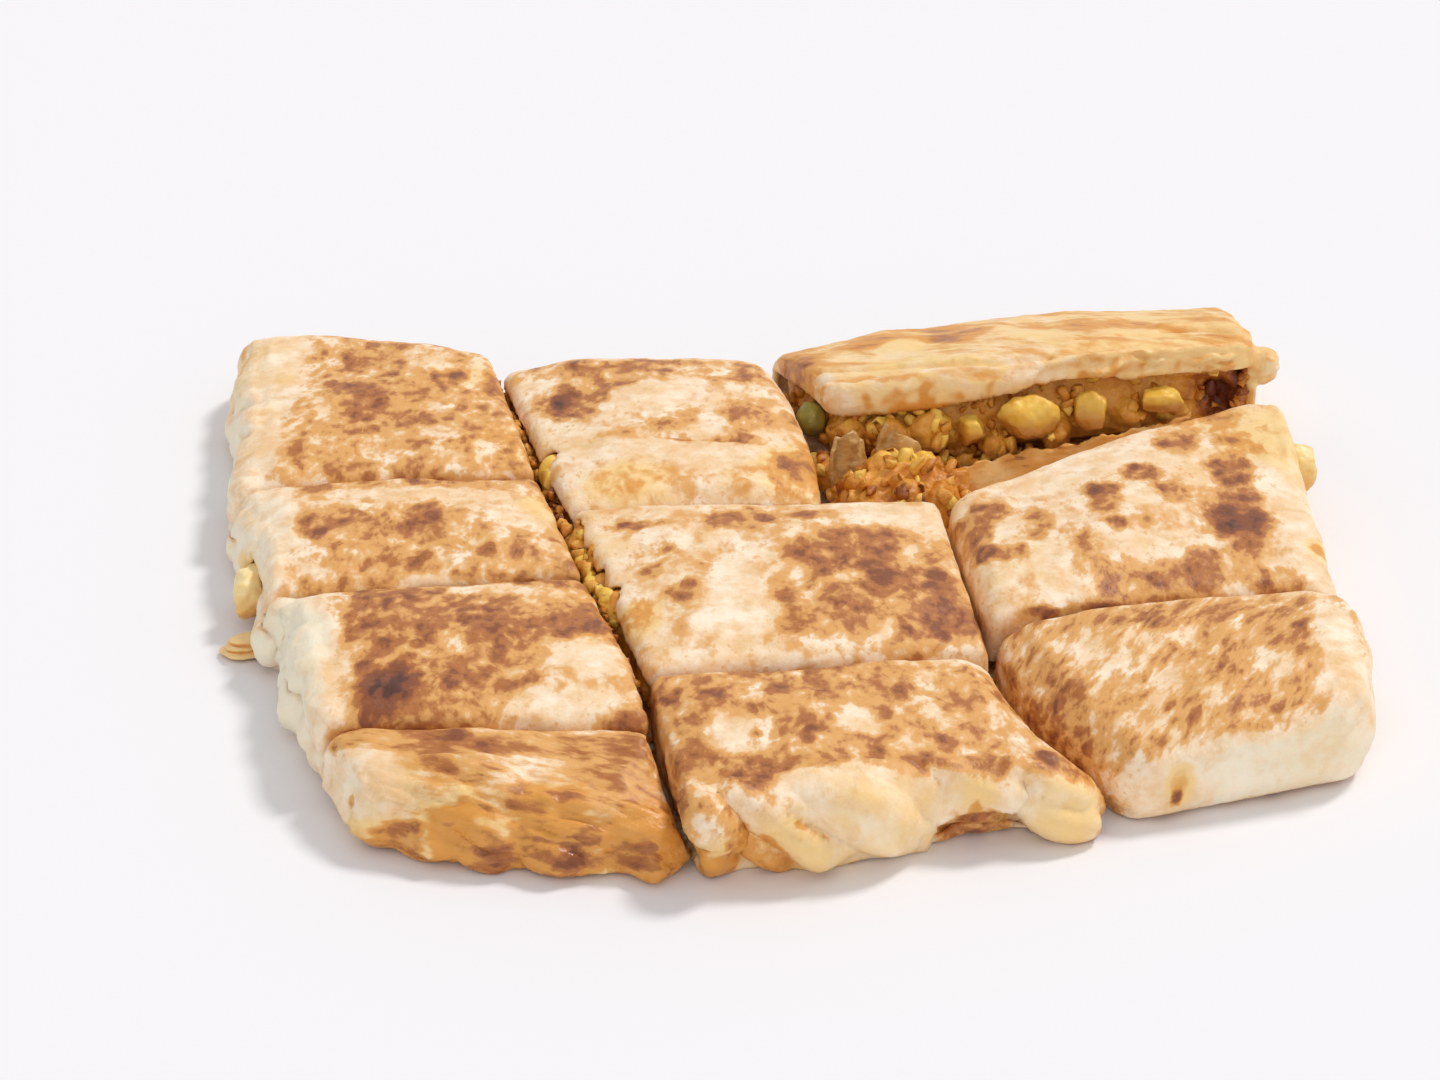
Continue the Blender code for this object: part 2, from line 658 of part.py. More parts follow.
def sheet_object(name, sheet, material, grow=0.0):
    """A thin wavy piece that stands on edge."""
    middle, length, height, turn, lean, wave, rise, narrowing = sheet
    bm = bmesh.new()
    columns = max(4, round(length / 4))
    bmesh.ops.create_grid(bm, x_segments=columns, y_segments=4 if narrowing else 2, size=0.5)
    rotation = Matrix.Rotation(math.radians(turn), 3, "Z") @ Matrix.Rotation(math.radians(90 - lean), 3, "X")
    for vert in bm.verts:
        along = vert.co.x
        upward = vert.co.y
        bulge = wave * math.sin(2 * math.pi * SHEET_WAVES * along + 1.5 * upward)
        edge = 0.6 * wave * math.sin(2 * math.pi * 2.3 * SHEET_WAVES * along) * (upward > 0.4)
        edge += rise * along * (upward + 0.5)
        width = (length + 2 * grow) * (1 - narrowing * (2 * upward) ** 2 * (upward > 0))
        flat = Vector((along * width, upward * (height + 2 * grow) + edge, bulge))
        vert.co = (Vector(middle) + rotation @ flat) * MM
    thing = new_object(name, bm, material)
    thickness = thing.modifiers.new("Thickness", "SOLIDIFY")
    thickness.thickness = (SHEET_THICKNESS + 2 * grow) * MM
    thickness.offset = 0.0
    thickness.use_even_offset = False
    return thing


def make_sheets(heap, materials):
    for name, (slot, *sheet) in SHEETS.items():
        if slot == "onion":
            combine(heap, [sheet_object("socket", sheet, materials[slot], 2 * SOCKET_GAP)], "DIFFERENCE")
        sheet_object(name, sheet, materials[slot])


def make_side_flap(material):
    """Layers of dough that stick out at the foot of the second slice."""
    layers = []
    for number, (centre, size) in enumerate(FLAP_LAYERS):
        bm = lump_bmesh(centre, size, 12 * number, 80 + number)
        rest_on_floor(bm)
        layers.append(new_object("L2_flap", bm, material))
    combine(layers[0], layers[1:], "UNION")


def finish():
    """Smooth the round forms and put the middle of the whole parcel over the origin."""
    things = list(bpy.data.collections["murtabak"].objects)
    bpy.context.view_layer.update()
    points = []
    for thing in things:
        thing.data.shade_smooth()
        thing.data.set_sharp_from_angle(angle=math.radians(SHARP_ANGLE))
        points += [Vector(corner) for corner in thing.bound_box]
    low = Vector([min(point[axis] for point in points) for axis in range(3)])
    high = Vector([max(point[axis] for point in points) for axis in range(3)])
    parcel = bpy.data.objects.new("parcel", None)
    bpy.data.collections["murtabak"].objects.link(parcel)
    parcel.location = (-(low.x + high.x) / 2, -(low.y + high.y) / 2, -low.z)
    for thing in things:
        thing.parent = parcel


def main():
    clear_scene()
    new_collection("murtabak")
    materials = {
        "dough": new_material("griddled dough", (0.80, 0.60, 0.36), 0.55),
        "filling": new_material("egg filling", (0.56, 0.30, 0.08), 0.5),
        "potato": new_material("yellow potato and egg", (0.72, 0.46, 0.10), 0.45),
        "chilli": new_material("green chilli", (0.16, 0.20, 0.05), 0.35),
        "onion": new_material("soft onion", (0.42, 0.34, 0.20), 0.35),
    }
    doughs = {}
    for seed, (name, piece) in enumerate(SLICES.items(), start=1):
        doughs[name] = make_dough(name, piece, seed, materials["dough"])[0].name
        filling = make_filling(name, piece, seed, materials["filling"])
        add_cut_chunks(name, piece, seed, filling, materials["filling"])
    add_seam_chunks(doughs, materials["filling"])
    add_front_chunks(materials["filling"])
    add_nub(materials["dough"])
    make_lumps(materials)
    make_sheets(make_heap(materials["filling"]), materials)
    make_side_flap(materials["dough"])
    finish()


main()
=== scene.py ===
import math
import random

import bpy
import numpy as np
from mathutils import Euler, Matrix, Vector, noise


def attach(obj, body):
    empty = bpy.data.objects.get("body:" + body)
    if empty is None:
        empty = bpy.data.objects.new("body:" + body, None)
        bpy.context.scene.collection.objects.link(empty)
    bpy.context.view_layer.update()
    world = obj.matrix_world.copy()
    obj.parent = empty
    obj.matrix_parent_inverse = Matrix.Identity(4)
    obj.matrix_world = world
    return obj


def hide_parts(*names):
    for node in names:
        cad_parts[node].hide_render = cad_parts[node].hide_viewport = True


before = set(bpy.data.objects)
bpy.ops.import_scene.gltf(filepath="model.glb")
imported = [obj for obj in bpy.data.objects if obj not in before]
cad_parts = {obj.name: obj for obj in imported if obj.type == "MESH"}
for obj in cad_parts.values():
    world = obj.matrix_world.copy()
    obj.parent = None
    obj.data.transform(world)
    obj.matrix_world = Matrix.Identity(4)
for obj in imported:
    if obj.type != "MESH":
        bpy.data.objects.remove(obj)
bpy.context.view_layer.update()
mm = 0.001
chance = random.Random(11)


# Modelling helpers

def selectOnly(thing):
    if bpy.context.mode != "OBJECT":
        bpy.ops.object.mode_set(mode="OBJECT")
    bpy.ops.object.select_all(action="DESELECT")
    thing.select_set(True)
    bpy.context.view_layer.objects.active = thing


def applyModifier(thing, kind, **settings):
    selectOnly(thing)
    modifier = thing.modifiers.new(kind.title(), kind)
    for name, value in settings.items():
        setattr(modifier, name, value)
    bpy.ops.object.modifier_apply(modifier=modifier.name)


def editAll(thing):
    selectOnly(thing)
    bpy.ops.object.mode_set(mode="EDIT")
    bpy.ops.mesh.select_all(action="SELECT")


def copyOfNode(node, name):
    # a CAD node's mesh is loose triangles, so the copy is merged
    piece = bpy.data.objects.new(name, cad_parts[node].data.copy())
    bpy.context.scene.collection.objects.link(piece)
    piece.data.materials.clear()
    editAll(piece)
    bpy.ops.mesh.remove_doubles(threshold=0.01 * mm)
    bpy.ops.mesh.customdata_custom_splitnormals_clear()
    bpy.ops.object.mode_set(mode="OBJECT")
    return piece


def lumpyTexture(name, sizeInMm, depth):
    texture = bpy.data.textures.new(name, "CLOUDS")
    texture.noise_scale = sizeInMm * mm
    texture.noise_depth = depth
    texture.noise_basis = "ORIGINAL_PERLIN"
    return texture


def roughen(piece, texture, heightInMm, group=""):
    applyModifier(piece, "DISPLACE", texture=texture, strength=heightInMm * mm, mid_level=0.5,
                  texture_coords="LOCAL", vertex_group=group)


def places(piece):
    points = np.empty(len(piece.data.vertices) * 3)
    piece.data.vertices.foreach_get("co", points)
    return points.reshape(-1, 3)


def directions(piece):
    normals = np.empty(len(piece.data.vertices) * 3)
    piece.data.vertices.foreach_get("normal", normals)
    return normals.reshape(-1, 3)


def smoothStep(low, high, values):
    share = np.clip((values - low) / (high - low), 0.0, 1.0)
    return share * share * (3.0 - 2.0 * share)


def storeOn(piece, name, values):
    layer = piece.data.attributes.new(name, "FLOAT", "POINT")
    layer.data.foreach_set("value", values.astype(np.float32))


# Steps of a vertex group's weights: for noise, and for shapes that should come out smooth
coarseSteps, fineSteps = 12, 80


def groupFrom(piece, name, weights, steps=coarseSteps):
    group = piece.vertex_groups.new(name=name)
    rounded = np.round(weights * steps).astype(int)
    for step in range(1, steps + 1):
        near = np.nonzero(rounded == step)[0]
        if len(near):
            group.add(near.tolist(), step / steps, "REPLACE")


def pushOut(piece, weights, heightInMm):
    # out along the surface, by a share of the height at each point; a minus sign pushes in
    groupFrom(piece, "push", np.clip(weights, 0, 1), fineSteps)
    applyModifier(piece, "DISPLACE", strength=heightInMm * mm, mid_level=0.0, vertex_group="push")
    piece.vertex_groups.remove(piece.vertex_groups["push"])


seedShift = 7.31  # how far apart the noise of two seeds is taken


def noiseAt(points, sizes, seed=0.0):
    # soft noise from about -1 to 1; the sizes are those of its lumps along X, Y and Z
    scaled = points / np.array(sizes) + seed * seedShift
    return np.array([noise.noise(Vector(place)) for place in scaled])


def ridgesAt(points, sizes, seed=0.0):
    # rounded folds with sharp valleys between them, 0 to 1
    return np.clip(1.6 * np.abs(noiseAt(points, sizes, seed)), 0, 1) ** 0.7


sunkAllowed = 0.1  # mm under the table that may stay


def liftOntoTable(piece):
    # what has sunk under the table is raised onto it
    sunk = np.maximum(-places(piece)[:, 2], 0)
    if sunk.max() > sunkAllowed * mm:
        groupFrom(piece, "sunk", sunk / sunk.max(), fineSteps)
        applyModifier(piece, "DISPLACE", strength=float(sunk.max()), mid_level=0.0,
                      direction="Z", vertex_group="sunk")
        piece.vertex_groups.remove(piece.vertex_groups["sunk"])


def finishPiece(piece, material, slot, *nodes):
    liftOntoTable(piece)
    piece.data.materials.clear()
    piece.data.materials.append(material)
    selectOnly(piece)
    bpy.ops.object.shade_smooth()
    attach(piece, "root")
    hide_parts(*nodes)


# Shader helpers

class Wire:
    # a socket's value, on which arithmetic adds Math nodes
    def __init__(self, paint, socket):
        self.paint = paint
        self.socket = socket

    def __add__(self, other):
        return self.paint.sum("ADD", self, other)

    def __sub__(self, other):
        return self.paint.sum("SUBTRACT", self, other)

    def __rsub__(self, other):
        return self.paint.sum("SUBTRACT", other, self)

    def __mul__(self, other):
        return self.paint.sum("MULTIPLY", self, other)

    __radd__ = __add__
    __rmul__ = __mul__


class Paint:
    def __init__(self, name):
        self.material = bpy.data.materials.new(name)
        self.material.use_nodes = True
        self.tree = self.material.node_tree
        self.shader = self.tree.nodes["Principled BSDF"]
        self.point = self.node("ShaderNodeTexCoord", {}, {}, "Object")

    def node(self, kind, settings, values, output=0):
        made = self.tree.nodes.new(kind)
        for name, value in settings.items():
            setattr(made, name, value)
        self.feed(made, values)
        return Wire(self, made.outputs[output])

    def feed(self, made, values):
        for name, value in values.items():
            if isinstance(value, Wire):
                self.tree.links.new(value.socket, made.inputs[name])
            else:
                made.inputs[name].default_value = value

    def sum(self, operation, first, second):
        return self.node("ShaderNodeMath", {"operation": operation}, {0: first, 1: second})

    def mix(self, share, first, second):
        return self.node("ShaderNodeMix", {"data_type": "RGBA"}, {0: share, 6: first, 7: second}, 2)

    def step(self, low, high, value):
        return self.node("ShaderNodeMapRange", {"interpolation_type": "SMOOTHSTEP"},
                         {"Value": value, "From Min": low, "From Max": high})

    def stored(self, name):
        return self.node("ShaderNodeAttribute", {"attribute_name": name}, {}, "Fac")

    def turned(self, degrees, stretch):
        # a pattern drawn out along a direction, which is +Y when the turn is 0
        rotated = self.node("ShaderNodeMapping", {},
                            {"Vector": self.point, "Rotation": (0, 0, math.radians(-degrees))})
        return self.node("ShaderNodeMapping", {}, {"Vector": rotated, "Scale": (1, 1 / stretch, 1)})

    def noise(self, sizeInMm, detail=2.0, rough=0.5, at=None, output=0):
        return self.node("ShaderNodeTexNoise", {},
                         {"Vector": at or self.point, "Scale": 1000 / sizeInMm,
                          "Detail": detail, "Roughness": rough}, output)

    def cells(self, sizeInMm, at, output="Distance"):
        return self.node("ShaderNodeTexVoronoi", {}, {"Vector": at, "Scale": 1000 / sizeInMm}, output)

    def bump(self, height, depthInMm):
        return self.node("ShaderNodeBump", {},
                         {"Height": height, "Distance": depthInMm * mm, "Strength": 1.0})


def tint(red, green, blue):
    # screen colour from 0 to 255, as the linear colour that the shader wants
    shares = [value / 255 for value in (red, green, blue)]
    linear = [share / 12.92 if share < 0.04 else ((share + 0.055) / 1.055) ** 2.4 for share in shares]
    return (*linear, 1.0)


# Camera, floor and light

# As fitted to the photograph: degrees, millimetres, and pixels of its 1440 x 1080 frame
view = {"height": 28.1, "distance": 667, "aim": (0.21, 21.89, 0.05), "lens": 82.5, "sensor": 36,
        "centre": (759.8, 531.6), "size": (1440, 1080), "nearest": 10}


def addCamera():
    lift = math.radians(view["height"])
    away = Vector((0, -math.cos(lift), math.sin(lift))) * view["distance"]
    bpy.ops.object.camera_add(location=(Vector(view["aim"]) + away) * mm,
                              rotation=(math.pi / 2 - lift, 0, 0))
    camera = bpy.context.object
    width, height = view["size"]
    camera.data.lens = view["lens"]
    camera.data.sensor_width = view["sensor"]
    camera.data.shift_x = (width / 2 - view["centre"][0]) / width
    camera.data.shift_y = (view["centre"][1] - height / 2) / width
    camera.data.clip_start = view["nearest"] * mm
    bpy.context.scene.camera = camera


# Suns are (strength, height, bearing from +Y towards +X, softness), all but the strength in degrees
studio = {"floor": (240, 239, 243), "floorRoughness": 0.9, "floorSize": 6, "sky": 0.6,
          "sunTint": (1.0, 0.98, 0.95), "suns": [(1.6, 52, 50, 12), (0.5, 30, 175, 70)]}


def addStudio():
    bpy.context.scene.view_settings.view_transform = "Standard"
    bpy.ops.mesh.primitive_plane_add(size=studio["floorSize"])
    floor = bpy.context.object
    floor.name = "floor"
    paint = Paint("paleFloor")
    paint.feed(paint.shader, {"Base Color": tint(*studio["floor"]),
                              "Roughness": studio["floorRoughness"]})
    floor.data.materials.append(paint.material)
    world = bpy.data.worlds.new("softRoom")
    bpy.context.scene.world = world
    world.use_nodes = True
    sky = world.node_tree.nodes["Background"]
    sky.inputs["Color"].default_value = (1, 1, 1, 1)
    sky.inputs["Strength"].default_value = studio["sky"]
    for strength, height, bearing, softness in studio["suns"]:
        tilt = math.radians(90 - height)
        bpy.ops.object.light_add(type="SUN", rotation=(-tilt, 0, -math.radians(bearing)))
        sun = bpy.context.object
        sun.data.energy = strength
        sun.data.color = studio["sunTint"]
        sun.data.angle = math.radians(softness)


addCamera()
addStudio()
print("camera, floor and light are in place")


# Materials

doughTones = {"milk": (246, 236, 212), "ivory": (254, 236, 212), "cream": (241, 201, 152),
              "butter": (228, 184, 122), "tan": (226, 168, 98), "brown": (180, 112, 58),
              "dark": (138, 78, 46), "char": (86, 50, 40), "soaked": (224, 154, 66),
              "yolk": (246, 208, 138)}
# Sizes of the dough's patterns, and how far the drift bends them, in millimetres
doughSizes = {"drift": 11, "driftReach": 4, "blotch": 7.0, "speck": 2.2, "blister": 4.4, "spot": 5.2,
              "freckle": 1.9, "cream": 8, "butter": 4.6, "wrinkle": 2.4, "pore": 0.7, "relief": 0.3}
# How much each pattern changes the toast, and between which levels of toast each tone comes in
doughShares = {"blotch": 1.9, "speck": 1.4, "blister": 0.4, "spot": 0.3}
toneSteps = {"tan": (0.05, 0.43), "brown": (0.46, 0.86), "dark": (0.86, 1.22), "char": (1.3, 1.8)}


def griddledDough(name, turn, stretch, fineness, contrast=1.0):
    # toast runs from -0.5, white, over 0, cream, and 0.5, golden, to 1.3, charred
    # soak runs from 0, dry, over 1, yellow with egg, to 2, orange with oil
    paint = Paint(name)
    tones = {key: tint(*value) for key, value in doughTones.items()}
    grain = paint.turned(turn, stretch)
    drift = paint.noise(doughSizes["drift"], 2, at=grain, output="Color")
    drifted = paint.node("ShaderNodeVectorMath", {"operation": "MULTIPLY_ADD"},
                         {0: drift, 1: (doughSizes["driftReach"] * mm,) * 3, 2: grain})
    blotch = paint.noise(doughSizes["blotch"] * fineness, 3, 0.5, drifted)
    speck = paint.noise(doughSizes["speck"] * fineness, 3, 0.55, drifted)
    blister = paint.cells(doughSizes["blister"] * fineness, drifted)
    spot = paint.cells(doughSizes["spot"] * fineness, drifted)
    chosen = paint.cells(doughSizes["spot"] * fineness, drifted, "Color")
    spots = paint.step(0.52, 0.26, spot) * paint.step(0.42, 0.6, chosen)
    toast = paint.stored("toast")
    soak = paint.stored("soak")
    swing = paint.step(-0.1, 0.5, toast) * 0.8 + 0.2
    change = (blotch - 0.5) * doughShares["blotch"] + (speck - 0.5) * doughShares["speck"]
    change = change - (blister - 0.42) * doughShares["blister"] + (spots - 0.3) * doughShares["spot"]
    level = toast + swing * contrast * change
    creamy = paint.step(0.3, 0.68, paint.noise(doughSizes["cream"], 4, 0.65))
    buttery = paint.step(0.48, 0.7, paint.noise(doughSizes["butter"], 4, 0.6))
    pale = paint.mix(creamy, tones["ivory"], tones["cream"])
    pale = paint.mix(buttery * 0.6, pale, tones["butter"])
    pale = paint.mix(paint.step(0.0, -0.5, toast + (speck - 0.5) * 0.4), pale, tones["milk"])
    freckles = paint.step(0.56, 0.68, paint.noise(doughSizes["freckle"] * fineness, 3, 0.6, drifted))
    pale = paint.mix(freckles * paint.step(-0.05, 0.15, toast) * 0.7, pale, tones["tan"])
    soaked = paint.step(0.0, 0.9, soak + soak * (blotch - 0.5) * 2)
    pale = paint.mix(soaked * 0.85, pale, tones["yolk"])
    pale = paint.mix(paint.step(1.0, 1.7, soak + (blotch - 0.5) * 1.2), pale, tones["soaked"])
    golden = paint.mix(soaked * 0.75, tones["tan"], tones["soaked"])
    color = paint.mix(paint.step(*toneSteps["tan"], level), pale, golden)
    for tone in ("brown", "dark", "char"):
        color = paint.mix(paint.step(*toneSteps[tone], level), color, tones[tone])
    wrinkles = paint.noise(doughSizes["wrinkle"], 4, 0.55, grain)
    pores = paint.noise(doughSizes["pore"], 3, 0.6)
    relief = wrinkles + pores * 0.35 - paint.step(0.4, 1.2, level) * 0.25
    bump = paint.bump(relief, doughSizes["relief"])
    paint.feed(paint.shader, {
        "Base Color": color, "Roughness": 0.56 - paint.step(0.3, 1.0, level) * 0.14 - soak * 0.12,
        "Normal": bump, "Specular IOR Level": 0.35,
        "Subsurface Weight": 0.12, "Subsurface Radius": (1.0, 0.6, 0.3), "Subsurface Scale": 0.0015})
    return paint.material


fillingTones = {0.0: (104, 44, 16), 0.25: (176, 98, 26), 0.5: (218, 142, 42), 0.72: (232, 166, 64),
                1.0: (250, 204, 88)}


def eggFilling(name):
    # hue runs from 0, dark and burnt, over 0.5, orange brown, to 1, yellow
    paint = Paint(name)
    hue = paint.stored("hue")
    small = paint.noise(1.6, 4, 0.6)
    large = paint.noise(5, 2, 0.5)
    hue = hue + (small - 0.5) * 0.6 + (large - 0.5) * 0.5
    stops = sorted(fillingTones)
    color = tint(*fillingTones[stops[0]])
    for low, high in zip(stops, stops[1:]):
        color = paint.mix(paint.step(low, high, hue), color, tint(*fillingTones[high]))
    bump = paint.bump(small + paint.noise(0.6, 3) * 0.3, 0.4)
    paint.feed(paint.shader, {
        "Base Color": color, "Roughness": 0.42 - (small - 0.5) * 0.3, "Normal": bump,
        "Subsurface Weight": 0.12, "Subsurface Radius": (1.0, 0.5, 0.2), "Subsurface Scale": 0.0012})
    return paint.material


# Two main tones of each kind of large piece, one for specks, and one of painted shade, darker and
# browner, for where it lies low
pieceTones = {"potato": ((244, 202, 90), (234, 180, 62), (216, 148, 48), (186, 104, 34)),
              "egg": ((248, 226, 172), (243, 210, 134), (234, 186, 92), (226, 156, 70)),
              "chilli": ((172, 158, 66), (144, 132, 46), (200, 176, 96), (128, 88, 36)),
              "onion": ((212, 168, 104), (180, 132, 68), (222, 178, 104))}


def boiledPiece(name, tones):
    paint = Paint(name)
    soft = paint.noise(4.0, 3, 0.55)
    grainy = paint.noise(0.8, 3, 0.6)
    color = paint.mix(paint.step(0.35, 0.62, soft), tint(*tones[0]), tint(*tones[1]))
    color = paint.mix(paint.step(0.58, 0.78, soft + (grainy - 0.5) * 0.3), color, tint(*tones[2]))
    # painted shade: each piece turns darker and browner towards its bottom, by its stored height
    low = paint.step(0.78, 0.25, paint.stored("height") + (soft - 0.5) * 0.8)
    color = paint.mix(low * 0.75, color, tint(*tones[3]))
    paint.feed(paint.shader, {
        "Base Color": color, "Roughness": 0.44 + (grainy - 0.5) * 0.2,
        "Normal": paint.bump(soft + grainy * 0.2, 0.35),
        "Subsurface Weight": 0.15, "Subsurface Radius": (1.0, 0.6, 0.2), "Subsurface Scale": 0.0015})
    return paint.material


def softOnion(name, tones):
    paint = Paint(name)
    fibres = paint.noise(1.2, 2, 0.5, paint.turned(75, 5))
    color = paint.mix(paint.step(0.35, 0.65, fibres), tint(*tones[0]), tint(*tones[1]))
    color = paint.mix(paint.step(0.5, 0.8, paint.noise(4, 2)), color, tint(*tones[2]))
    paint.feed(paint.shader, {"Base Color": color, "Roughness": 0.3 + (fibres - 0.5) * 0.2,
                              "Normal": paint.bump(fibres, 0.2), "Alpha": 0.9,
                              "Subsurface Weight": 0.25, "Subsurface Radius": (1.0, 0.7, 0.4),
                              "Subsurface Scale": 0.001})
    return paint.material


# A dough's pattern: which way it is drawn out and how far, its fineness, and its contrast
materials = {
    "dough": griddledDough("griddledDough", 0, 1.4, 1.0, 1.1),
    "streaky": griddledDough("streakyDough", -28, 2.6, 0.62),
    "layered": griddledDough("layeredDough", 76, 2.8, 0.7),
    "folded": griddledDough("foldedDough", 78, 2.4, 0.95, 0.75),
    "filling": eggFilling("eggFilling"),
    "potato": boiledPiece("yellowPotato", pieceTones["potato"]),
    "egg": boiledPiece("curdledEgg", pieceTones["egg"]),
    "chilli": boiledPiece("greenChilli", pieceTones["chilli"]),
    "onion": softOnion("softOnion", pieceTones["onion"]),
}
print("materials are ready")


# Dough of the ten slices

